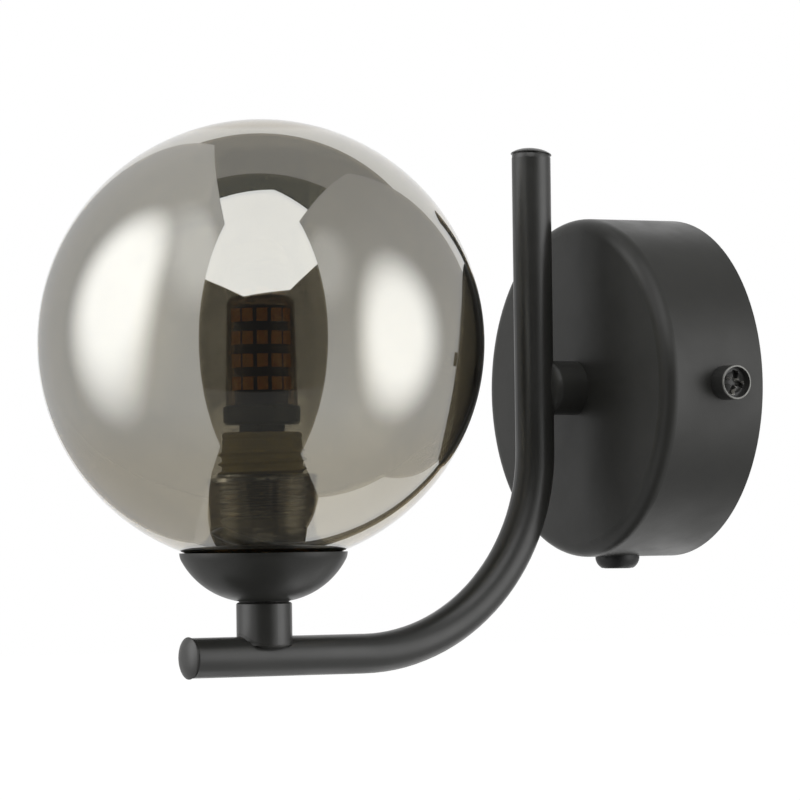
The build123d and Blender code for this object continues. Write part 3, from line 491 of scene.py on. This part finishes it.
def bore_row(height):
    """Bore of the neck with its moulded thread, half a pitch off the holder's."""
    def row(angle):
        upper = clamp((NECK_MOUTH - BORE_THREAD_TOP - height) / BORE_THREAD_FADE)
        lower = clamp((height - NECK_MOUTH + BORE_THREAD_END) / BORE_THREAD_FADE)
        rise = ridge(thread_phase(angle, height) + 0.5, BORE_RIDGE_WIDTH) * upper * lower
        return NECK_BORE - BORE_RIDGE * rise, height
    return row


def mouth_row(turn):
    """Rounded mouth of the neck, lower on the camera's left."""
    middle = (NECK_BORE + NECK_MOUTH_R) / 2
    half = (NECK_MOUTH_R - NECK_BORE) / 2

    def row(angle):
        dip = 0.6 * MM * (1 - math.cos(angle - RIGHT_ANGLE))
        return middle - half * math.cos(turn), NECK_MOUTH - NECK_EDGE - dip + NECK_EDGE * math.sin(turn)
    return row


def neck_folds(turn, up):
    """Sum of the folds at a bearing and a height over the mouth, each about -1 to 1."""
    folds = 0.0
    for bearing, gain in NECK_FOLDS:
        aside = math.remainder(turn - bearing, 2 * math.pi)
        wobble = up * 4500 + 2.2 * aside ** 2 + 0.8 * math.sin(up * 900 + bearing)
        folds += gain * math.exp(-(aside / FOLD_WIDTH) ** 2) * math.sin(wobble)
    return folds


def neck_row(radius, height):
    """Outer side of the neck: uneven rings and folds of the blown glass, and the mould's seam."""
    up = height - NECK_MOUTH
    near_mouth = clamp(-up / (1.2 * MM)) * clamp((up + 12.5 * MM) / (2.0 * MM))

    def row(angle):
        turn = math.remainder(angle - RIGHT_ANGLE, 2 * math.pi)
        rings = math.sin(up * 4100 + 0.9 * math.sin(2 * turn))
        rings += 0.7 * math.sin(up * 6700 + 1.3 * math.sin(turn + 1))
        patch = 0.55 + 0.45 * math.sin(3 * turn + up * 500)
        wave = (0.10 * math.sin(5 * turn + up * 300) + 0.08 * math.sin(3 * turn - up * 400)) * MM
        seam = SEAM_DEPTH * math.exp(-(math.remainder(turn - SEAM_BEARING, 2 * math.pi) / 0.05) ** 2)
        folds = FOLD_DEPTH * neck_folds(turn, up) * near_mouth
        return radius + RING_DEPTH * rings * patch + folds + wave + seam - NECK_INSET, height
    return row


def globe_glass():
    """Outer skin, lip, bore, mouth, neck, flare and inner skin, in one closed shell."""
    inner_r = GLOBE_R - GLASS_WALL
    lip_r = NECK_BORE + LIP_R
    lip_drop = math.sqrt((GLOBE_R - LIP_R) ** 2 - lip_r ** 2)
    lip_z = GLOBE_Z - lip_drop
    flare_r = NECK_ROOT_R + NECK_FLARE
    flare_drop = math.sqrt((inner_r - NECK_FLARE) ** 2 - flare_r ** 2)
    flare_z = GLOBE_Z - flare_drop
    lean_out = math.atan2(-lip_drop, lip_r)
    lean_in = math.atan2(-flare_drop, flare_r)

    rows = arc(0.0, GLOBE_Z, GLOBE_R, POLE, lean_out, BALL_STEPS)
    rows += arc(lip_r, lip_z, LIP_R, lean_out, -math.pi, LIP_STEPS, first=1)
    rows += [bore_row(lip_z + (NECK_MOUTH - lip_z) * step / BORE_STEPS) for step in range(1, BORE_STEPS)]
    rows += [mouth_row(math.pi * step / MOUTH_STEPS) for step in range(MOUTH_STEPS + 1)]
    neck_top = NECK_MOUTH - NECK_EDGE
    for step in range(1, NECK_STEPS):
        share = step / NECK_STEPS
        radius = NECK_MOUTH_R + (NECK_ROOT_R - NECK_MOUTH_R) * share
        rows.append(neck_row(radius, neck_top + (flare_z - neck_top) * share))
    rows += arc(flare_r, flare_z, NECK_FLARE, -math.pi, lean_in, FLARE_STEPS)
    rows += arc(0.0, GLOBE_Z, inner_r, lean_in, POLE, BALL_STEPS, first=1)

    verts, faces = turned(rows, GLOBE_AROUND)
    last_ring = len(verts) - GLOBE_AROUND
    faces += fan(0, len(verts), GLOBE_AROUND) + fan(last_ring, len(verts) + 1, GLOBE_AROUND)
    verts += [(0.0, LAMP_Y, GLOBE_Z + GLOBE_R), (0.0, LAMP_Y, GLOBE_Z + inner_r)]
    piece = finish_mesh("globe_glass", verts, faces, smoke, "globe", 60.0)
    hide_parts("glass_globe")


globe_glass()


# ---------------------------------------------------------------- lampholder with its thread
# Profiles in mm: radius, and height over the holder's bottom or under its top.
HOLDER_FOOT = ((5.9, 0.0), (9.0, 0.0), (9.5, 0.5), (9.5, 3.2), (15.2, 3.2), (15.5, 3.5), (15.5, 4.4),
               (15.2, 4.7), (10.9, 4.7))
HOLDER_HEAD = ((10.9, 4.2), (10.75, 4.0), (10.75, 2.2), (10.55, 2.0), (10.55, 1.6), (10.75, 1.4),
               (10.75, 0.6), (10.15, 0.0), (9.3, 0.0), (9.1, 0.4), (9.1, 1.2))
HOLDER_AROUND = 160
HOLDER_STEPS = 190
HOLDER_CORE = 10.9 * MM                 # radius under the thread
HOLDER_RIDGE = 1.08 * MM                # rise and relative width of the thread
HOLDER_RIDGE_WIDTH = 0.66
HOLDER_BORE = 5.9 * MM                  # radius and depth of the nipple's bore
HOLDER_BORE_DEPTH = 7.5 * MM
SOCKET_HALF = (6.45 * MM, 4.2 * MM)     # half length and half width of the socket slot
SOCKET_DEPTH = 5.2 * MM


def holder_row(height, low, high):
    """Row of the thread, which runs between two heights and fades at both."""
    def row(angle):
        fade = min(1.0, (height - low) / (2.0 * MM), (high - height) / (1.2 * MM))
        rise = ridge(thread_phase(angle, height), HOLDER_RIDGE_WIDTH)
        return HOLDER_CORE + HOLDER_RIDGE * rise * max(0.0, fade), height
    return row


def oblong(angle, half_x, half_y):
    """A point of a rounded rectangle in the direction of an angle."""
    power = 5.0
    cos, sin = math.cos(angle), math.sin(angle)
    scale = (abs(cos / half_x) ** power + abs(sin / half_y) ** power) ** (-1 / power)
    return scale * cos, scale * sin


def holder():
    """Thread, flange and sleeve outside, a flat socket slot in the top and the nipple's bore below."""
    low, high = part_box("lampholder_body")
    bottom, top = low[2], high[2]
    thread_low = bottom + HOLDER_FOOT[-1][1] * MM
    thread_high = top - HOLDER_HEAD[0][1] * MM
    rows = [still(radius * MM, bottom + up * MM) for radius, up in HOLDER_FOOT]
    for step in range(1, HOLDER_STEPS):
        height = thread_low + (thread_high - thread_low) * step / HOLDER_STEPS
        rows.append(holder_row(height, thread_low, thread_high))
    rows += [still(radius * MM, top - down * MM) for radius, down in HOLDER_HEAD]
    verts, faces = turned(rows, HOLDER_AROUND)

    # socket slot: a rounded oblong from the recessed top face down to a floor
    ring = len(verts) - HOLDER_AROUND
    floor_z = top - SOCKET_DEPTH
    for level in (top - HOLDER_HEAD[-1][1] * MM, floor_z):
        faces += band(ring, len(verts), HOLDER_AROUND)
        ring = len(verts)
        for angle in angles(HOLDER_AROUND):
            x, y = oblong(angle, *SOCKET_HALF)
            verts.append((x, LAMP_Y + y, level))
    faces += fan(ring, len(verts), HOLDER_AROUND)
    verts.append((0.0, LAMP_Y, floor_z))

    # bore for the nipple, from the foot's inner edge up to its end
    bore_end = bottom + HOLDER_BORE_DEPTH
    ring = len(verts)
    verts += [on_axis(HOLDER_BORE, angle, bore_end) for angle in angles(HOLDER_AROUND)]
    faces += band(0, ring, HOLDER_AROUND) + fan(ring, len(verts), HOLDER_AROUND)
    verts.append((0.0, LAMP_Y, bore_end))
    piece = finish_mesh("holder_threaded", verts, faces, cream, "fixture", 35.0)
    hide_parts("lampholder_body")


holder()


# ---------------------------------------------------------------- welds of boss and stem on the tube
WELD_STEPS = 12
WELD_SPREAD = 0.5 * MM                  # how far the fillet runs out along the tube
WELD_SINK = 0.06 * MM                   # its edge lies this deep in the tube's skin
SEAM_PROFILE = ((6.95, -0.15), (6.72, 0.0), (6.85, 0.42), (5.5, 0.42), (5.5, -0.15))     # mm


def weld(name, place, start, reach, level):
    """Painted fillet from a round stub's wall down to the tube it stands on, which runs along local Y.

    For the height of the tube's skin, start gives the height where the fillet leaves the stub. For the
    cosine of a bearing, reach gives how far out across the tube it ends. level is how full it is.
    """
    def controls(angle):
        cos, sin = math.cos(angle), math.sin(angle)
        across = reach(abs(cos))
        floor = math.sqrt(ARM_R ** 2 - across ** 2)
        out = STUB_R + WELD_SPREAD * abs(sin) ** 3
        first = Vector((STUB_R * cos, STUB_R * sin, start(floor)))
        last = Vector((math.copysign(across, cos), out * sin, floor - WELD_SINK))
        bend = STUB_R + (0.14 + 0.05 * math.sin(11 * angle) + 0.03 * math.sin(29 * angle)) * MM
        middle = Vector((bend * cos, bend * sin, floor + level * (first.z - floor)))
        return first, middle, last

    def curve_row(share):
        def point(angle):
            first, middle, last = controls(angle)
            return (1 - share) ** 2 * first + 2 * share * (1 - share) * middle + share ** 2 * last
        return point

    def buried_row(angle):
        last = controls(angle)[2]
        return last.x * 0.85, last.y * 0.95, last.z - 0.7 * MM

    rows = [curve_row(step / WELD_STEPS) for step in range(WELD_STEPS + 1)] + [buried_row]
    ring_piece(name, rows, 120, black_metal, place, 70.0)


def smooth_least(value, limit):
    """The lesser of two lengths, with a rounded change from one to the other."""
    return (max(value, 1e-6) ** -4 + limit ** -4) ** -0.25


weld("boss_weld", placed((0, ARM_Y, 0), (-1, 0, 0), (0, 1, 0)),
     start=lambda floor: max(floor + 0.5 * MM, 5.25 * MM),
     reach=lambda cos: 4.75 * MM * cos ** 0.4, level=0.45)
weld("stem_weld", placed((0, LAMP_Y, ARM_LEVEL), (1, 0, 0), (0, 0, 1)),
     start=lambda floor: floor + 0.9 * MM,
     reach=lambda cos: smooth_least(STUB_R * cos, 5.15 * MM), level=0.12)
ring_piece("stem_seam", [lathe_row(*size) for size in SEAM_PROFILE], 96, arm_coat,
           placed((0, LAMP_Y, STEM_TOP), (1, 0, 0), (0, 0, 1)))


# ---------------------------------------------------------------- end caps of the tube
CAP_EDGE = 5.65                         # mm, radius of the disc
CAP_STEPS = 24
CAP_TILT = math.radians(7.5)            # the top cap sits a little open


def end_cap(name, node, place, lift, dome):
    """Pressed cap: domed disc, a fine groove under its edge, then the shoulder that enters the tube.

    lift is how far the disc stands off the tube and dome is its rise, both in mm.
    """
    ball = (CAP_EDGE ** 2 + dome ** 2) / (2 * dome)
    profile = []
    for step in range(CAP_STEPS + 1):
        radius = max(0.01, (CAP_EDGE - 0.12) * math.sin(math.pi / 2 * step / CAP_STEPS))
        round_rise = dome - ball + math.sqrt(ball ** 2 - radius ** 2)
        flat_rise = dome * (1 - (radius / CAP_EDGE) ** 3.2)
        profile.append((radius, lift + 0.45 + 0.45 * round_rise + 0.55 * flat_rise))
    profile += [(CAP_EDGE, lift + 0.38), (CAP_EDGE, lift + 0.28), (CAP_EDGE - 0.1, lift + 0.20),
                (5.15, lift + 0.17), (5.1, lift + 0.02), (5.24, lift - 0.01), (5.3, lift - 0.16),
                (5.3, lift - 1.3), (3.9, lift - 1.35), (3.9, -3.6), (3.0, -3.6), (3.0, 0.0), (0.01, 0.0)]
    piece = ring_piece(name, [lathe_row(*size) for size in profile], 96, arm_coat, place, 35.0)
    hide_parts(node)


end_cap("front_cap_pressed", "arm_front_cap", placed((0, ARM_FRONT, ARM_LEVEL), (1, 0, 0), (0, -1, 0)),
        lift=0.35, dome=1.40)
flat_camera = Vector((to_camera.x, to_camera.y, 0)).normalized()
flat_right = Vector((view_right.x, view_right.y, 0)).normalized()
raised_side = (0.90 * flat_camera - 0.43 * flat_right).normalized()
top_turn = Matrix.Rotation(CAP_TILT, 4, raised_side.cross(Vector((0, 0, 1))))
top_place = Matrix.Translation((0, ARM_Y, ARM_TOP + ARM_R * 0.9 * math.sin(CAP_TILT))) @ top_turn
end_cap("top_cap_pressed", "arm_top_cap", top_place, lift=0.0, dome=1.45)


# ---------------------------------------------------------------- screws in the side of the cup, in mm
SCREW_AT_Y = -12.3
SCREW_TALL = 5.8                        # from the cup's wall to the rim
SCREW_R = 4.7
SCREW_FACE_R = 3.98
SCREW_FACE_ROWS = 46
SCREW_TURN = math.radians(14.0)         # of the cross
SCREW_BODY = ((0.01, -7.0), (1.6, -7.0), (2.0, -6.6), (2.0, 0.02), (4.55, 0.02), (SCREW_R, 0.15),
              (SCREW_R, 2.0), (SCREW_R, 4.0), (SCREW_R, SCREW_TALL - 0.28), (SCREW_R - 0.1, SCREW_TALL - 0.08),
              (SCREW_R - 0.24, SCREW_TALL), (4.26, SCREW_TALL), (4.16, SCREW_TALL - 0.08),
              (4.10, SCREW_TALL - 0.7), (4.06, SCREW_TALL - 1.6))


def screw_depth(u, v):
    """Depth of the dished face with its cross recess at a place on it."""
    away = math.hypot(u, v)
    dish = 1.9 - 0.75 * max(0.0, 1 - (away / 3.0) ** 2)
    arm = 0.0
    for across, along in ((abs(u), abs(v)), (abs(v), abs(u))):
        half_width = 0.63 + 0.10 * along
        arm = max(arm, min(1.0, (half_width - across) / 0.16, (3.35 - along) / 0.3))
    return dish + 1.5 * max(arm, min(1.0, 2.2 * (1 - away / 1.5)))


def face_row(away):
    """Row of the dished face at a distance from the screw's axis."""
    def point(angle):
        u, v = away * math.cos(angle + SCREW_TURN), away * math.sin(angle + SCREW_TURN)
        return lathe_row(away, SCREW_TALL - screw_depth(u, v))(angle)
    return point


def wear_screw(piece, place):
    """Worn metal on the rim, and bare metal where a tool has slipped in the recess."""
    piece.data.materials.append(worn_rim)
    piece.data.materials.append(bare_chip)
    inverse = place.inverted()
    for polygon in piece.data.polygons:
        spot = inverse @ polygon.center
        away = math.hypot(spot.x, spot.y) / MM
        height = spot.z / MM
        if height > SCREW_TALL - 0.3 and away > 4.1:
            polygon.material_index = 1
        elif away < 3.5 and height > SCREW_TALL - 3.0:
            lean = abs((inverse.to_3x3() @ polygon.normal).z)
            bearing = math.atan2(spot.y, spot.x)
            patch = math.sin(3 * bearing + 1.1) + math.sin(7 * bearing + 2.0 * away)
            if lean < 0.8 and patch > 0.0:
                polygon.material_index = 2


def side_screw(name, side):
    place = placed((side * CUP_R, SCREW_AT_Y * MM, 0), (0, side, 0), (side, 0, 0))
    rows = [lathe_row(*size) for size in SCREW_BODY]
    for step in range(SCREW_FACE_ROWS):
        rows.append(face_row(max(0.01, SCREW_FACE_R * (1 - step / (SCREW_FACE_ROWS - 1)))))
    piece = ring_piece(name, rows, 160, black_screw, place, 30.0)
    wear_screw(piece, place)
    return piece


near_screw = side_screw("side_screw_near", 1)
far_screw = side_screw("side_screw_far", -1)
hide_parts("side_screws")
far_screw.parent = near_screw


# ---------------------------------------------------------------- collar round the push button, in mm
COLLAR_AT = (0.0, -17.8, -50.3)         # middle of its lower face
COLLAR_R = 6.15
COLLAR_INNER_R = 5.35                   # of its upper end
COLLAR_PROFILE = ((COLLAR_R, 2.9), (6.12, 2.5), (5.98, 2.0), (5.74, 1.45), (5.42, 0.95), (5.02, 0.5),
                  (4.62, 0.18), (4.35, 0.03), (4.2, 0.0), (4.05, 0.02), (3.99, 0.1), (3.99, 1.3),
                  (COLLAR_INNER_R, 1.3))


def collar_end(radius):
    """Row of the collar's upper end, cut to the round of the cup."""
    def point(angle):
        x, y, _ = lathe_row(radius, 0.0)(angle)
        return x, y, -COLLAR_AT[2] * MM - math.sqrt(CUP_R ** 2 - x ** 2)
    return point


def collar():
    rows = [collar_end(COLLAR_R)] + [lathe_row(*size) for size in COLLAR_PROFILE] + [collar_end(COLLAR_INNER_R)]
    place = placed(Vector(COLLAR_AT) * MM, (1, 0, 0), (0, 0, 1))
    piece = ring_piece("switch_collar_domed", rows, 120, black_plastic, place, 45.0)
    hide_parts("switch_collar")


collar()


# ---------------------------------------------------------------- camera
camera_data = bpy.data.cameras.new("photo_camera")
camera_data.lens = VIEW_LENS
camera_data.sensor_width = 36.0
camera_data.clip_start = 0.05
camera = new_object("photo_camera", camera_data)
camera.matrix_world = Matrix.Translation(VIEW_TARGET + VIEW_DISTANCE * to_camera) @ Matrix(
    (view_right, view_up, to_camera)).transposed().to_4x4()
bpy.context.scene.camera = camera


# ---------------------------------------------------------------- studio
# Places in the studio are given from the globe's centre, along the camera's right, up and front.
SIDE = 0.6                              # distance of the two lit side panels
FLOOR_Z = -1.75
FLOOR_REACH = 60.0
FAR, HIGH, WIDE, LOW, BACK = 3.4, 3.0, 4.6, -1.62, -1.9
CEILING_EDGE = -0.26                    # where the ceiling turns from gloomy to dim
OCTA_AWAY = 2.4
OCTA_SPREAD = math.radians(31.0)        # half the octabox as seen from the globe
OCTA_TURN = math.radians(10.0)
WHITE = (1.0, 1.0, 1.0, 1.0)


def studio_point(right, up, front):
    return GLOBE_AT + right * view_right + up * view_up + front * to_camera


def stage_card(name, corners, look, reflected_only=False):
    """A flat card of the studio, never seen by the camera itself."""
    mesh = bpy.data.meshes.new(name)
    mesh.from_pydata([tuple(corner) for corner in corners], [], [tuple(range(len(corners)))])
    obj = new_object(name, mesh)
    mesh.materials.append(look)
    obj.visible_camera = False
    if reflected_only:
        obj.visible_diffuse = False
        obj.visible_shadow = False
        obj.visible_volume_scatter = False


def add_spot(nodes, links, where, total, place, reach, gain):
    """Add a soft hot spot to a panel's glow."""
    mapping = nodes.new("ShaderNodeMapping")
    mapping.vector_type = "TEXTURE"
    mapping.inputs["Location"].default_value = place
    mapping.inputs["Scale"].default_value = reach
    links.new(where, mapping.inputs["Vector"])
    gradient = nodes.new("ShaderNodeTexGradient")
    gradient.gradient_type = "SPHERICAL"
    links.new(mapping.outputs[0], gradient.inputs["Vector"])
    ramp = nodes.new("ShaderNodeValToRGB")
    ramp.color_ramp.interpolation = "EASE"
    ramp.color_ramp.elements[0].color = (0, 0, 0, 1)
    ramp.color_ramp.elements[1].position = 0.66
    ramp.color_ramp.elements[1].color = WHITE
    links.new(gradient.outputs["Fac"], ramp.inputs["Fac"])
    add = nodes.new("ShaderNodeMath")
    add.operation = "MULTIPLY_ADD"
    add.inputs[1].default_value = gain
    links.new(ramp.outputs[0], add.inputs[0])
    links.new(total, add.inputs[2])
    return add.outputs[0]


def glow(name, low, high=None, spots=(), tint=(1.0, 1.0, 1.0)):
    """A lit panel: an even glow from low to high up its height, with soft hot spots on it.

    Each spot is a centre, three reaches along X, Y and Z, and the glow that it adds.
    """
    mat = bpy.data.materials.new(name)
    nodes, links = empty_nodes(mat)
    out = nodes.new("ShaderNodeOutputMaterial")
    emission = nodes.new("ShaderNodeEmission")
    emission.inputs["Color"].default_value = tint + (1.0,)
    links.new(emission.outputs[0], out.inputs[0])
    if high is None:
        emission.inputs["Strength"].default_value = low
        return mat
    where = nodes.new("ShaderNodeTexCoord").outputs["Object"]
    split = nodes.new("ShaderNodeSeparateXYZ")
    links.new(where, split.inputs[0])
    rise = nodes.new("ShaderNodeMapRange")
    for index, value in enumerate((-0.5, 0.9, low, high)):
        rise.inputs[index + 1].default_value = value
    links.new(split.outputs["Z"], rise.inputs["Value"])
    total = rise.outputs[0]
    for place, reach, gain in spots:
        total = add_spot(nodes, links, where, total, place, reach, gain)
    links.new(total, emission.inputs["Strength"])
    return mat


def side_panel(name, side, outline, look):
    """A lit panel at one side; its outline is given along front and up."""
    stage_card(name, [studio_point(side * SIDE, up, front) for front, up in outline], look)


left_look = glow("panel_left", 0.58, 0.60, [
    (studio_point(-SIDE, 0.24, 0.12), (0.42, 0.42, 0.70), 1.62),
    (studio_point(-SIDE, 0.95, 0.75), (0.80, 0.80, 0.80), 0.38)])
right_look = glow("panel_right", 0.60, 0.40, [
    (studio_point(SIDE, 0.04, 0.185), (0.38, 0.38, 0.49), 1.50),
    (studio_point(SIDE, 0.75, 0.75), (0.50, 0.50, 0.60), 0.28)])
side_panel("panel_left", -1, [(1.04, 2.06), (1.10, LOW), (BACK, LOW), (-1.74, 2.37)], left_look)
side_panel("panel_right", 1, [(0.82, 1.82), (0.90, LOW), (-0.09, -1.61), (-0.24, -0.66), (-0.94, -0.39),
                              (-0.57, 1.21)], right_look)


def octabox():
    """Eight-sided softbox above and in front of the globe, facing it."""
    bearing = (-0.02 * view_right + 0.80 * view_up + 0.60 * to_camera).normalized()
    centre = GLOBE_AT + OCTA_AWAY * bearing
    across = (-bearing).cross(view_up).normalized()
    rise = across.cross(-bearing)
    size = OCTA_AWAY * math.tan(OCTA_SPREAD)
    turns = [angle - OCTA_TURN for angle in angles(8)]
    corners = [centre + size * (math.cos(turn) * across + math.sin(turn) * rise) for turn in turns]
    stage_card("octabox", corners, glow("octabox", 1.65))


octabox()


# dark room behind the camera, dark floor in front and a dim ceiling, seen only as reflections
def room_card(name, corners, look):
    stage_card(name, [studio_point(*corner) for corner in corners], look, reflected_only=True)


dark = glow("room_dark", 0.018)
gloom = glow("room_gloom", 0.065, tint=(0.8, 1.0, 1.1))
dim = glow("room_dim", 0.30)
room_card("room_front", [(-WIDE, LOW, FAR), (WIDE, LOW, FAR), (WIDE, HIGH, FAR), (-WIDE, HIGH, FAR)], dark)
floor_left = [(-SIDE, LOW, 0.5), (-0.49, LOW, -0.65), (-0.38, LOW, BACK)]
floor_right = [(SIDE + 0.02, LOW, 0.9), (SIDE + 0.01, LOW, -0.06), (0.385, LOW, -0.76), (0.26, LOW, BACK)]
room_card("room_under", [(-WIDE, LOW, FAR), (WIDE, LOW, FAR), (WIDE, LOW, 0.9)] + floor_right
          + floor_left[::-1] + [(-SIDE, LOW, 0.9), (-WIDE, LOW, 0.9)], glow("floor_dark", 0.05))
room_card("room_under_left", floor_left + [(-SIDE, LOW, BACK)], glow("floor_left", 0.68))
for name, near, far, look in (("room_ceiling", FAR, CEILING_EDGE, gloom),
                              ("room_ceiling_back", CEILING_EDGE, -3.0, dim)):
    room_card(name, [(-WIDE, HIGH, near), (WIDE, HIGH, near), (WIDE, HIGH, far), (-WIDE, HIGH, far)], look)
for side in (-1, 1):
    room_card("room_side_%d" % (side + 1), [(side * WIDE, LOW, FAR), (side * WIDE, HIGH, FAR),
                                            (side * WIDE, HIGH, -0.6), (side * WIDE, LOW, -0.6)], dark)


def background_rays(nodes, links):
    """1 for the rays that look at the background: camera, glossy and transmission rays."""
    path = nodes.new("ShaderNodeLightPath")
    found = path.outputs["Is Camera Ray"]
    for kind in ("Is Glossy Ray", "Is Transmission Ray"):
        either = nodes.new("ShaderNodeMath")
        either.operation = "MAXIMUM"
        links.new(found, either.inputs[0])
        links.new(path.outputs[kind], either.inputs[1])
        found = either.outputs[0]
    return found


def pale_ground():
    """Pale floor that keeps the object's shadow and reads as white where it is looked at."""
    mat = bpy.data.materials.new("floor_pale")
    nodes, links = empty_nodes(mat)
    out = nodes.new("ShaderNodeOutputMaterial")
    cloth = nodes.new("ShaderNodeBsdfDiffuse")
    cloth.inputs["Color"].default_value = (0.86, 0.86, 0.855, 1.0)
    lift = nodes.new("ShaderNodeEmission")
    lift.inputs["Color"].default_value = (1.0, 1.0, 0.995, 1.0)
    level = nodes.new("ShaderNodeMath")
    level.operation = "MULTIPLY"
    level.inputs[1].default_value = 0.89
    links.new(background_rays(nodes, links), level.inputs[0])
    links.new(level.outputs[0], lift.inputs["Strength"])
    both = nodes.new("ShaderNodeAddShader")
    links.new(cloth.outputs[0], both.inputs[0])
    links.new(lift.outputs[0], both.inputs[1])
    links.new(both.outputs[0], out.inputs[0])
    return mat


floor_corners = [(x * FLOOR_REACH, y * FLOOR_REACH, FLOOR_Z) for x, y in ((-1, -1), (1, -1), (1, 1), (-1, 1))]
floor_mesh = bpy.data.meshes.new("floor")
floor_mesh.from_pydata(floor_corners, [], [(0, 1, 2, 3)])
floor = new_object("floor", floor_mesh)
floor_mesh.materials.append(pale_ground())


def background(nodes, strength):
    shader = nodes.new("ShaderNodeBackground")
    shader.inputs["Color"].default_value = WHITE
    shader.inputs["Strength"].default_value = strength
    return shader.outputs[0]


world = bpy.data.worlds.new("studio")
bpy.context.scene.world = world
nodes, links = empty_nodes(world)
out = nodes.new("ShaderNodeOutputWorld")
choose = nodes.new("ShaderNodeMixShader")
links.new(background_rays(nodes, links), choose.inputs[0])
links.new(background(nodes, 0.16), choose.inputs[1])
links.new(background(nodes, 1.0), choose.inputs[2])
links.new(choose.outputs[0], out.inputs[0])

bpy.context.scene.view_settings.view_transform = "Standard"
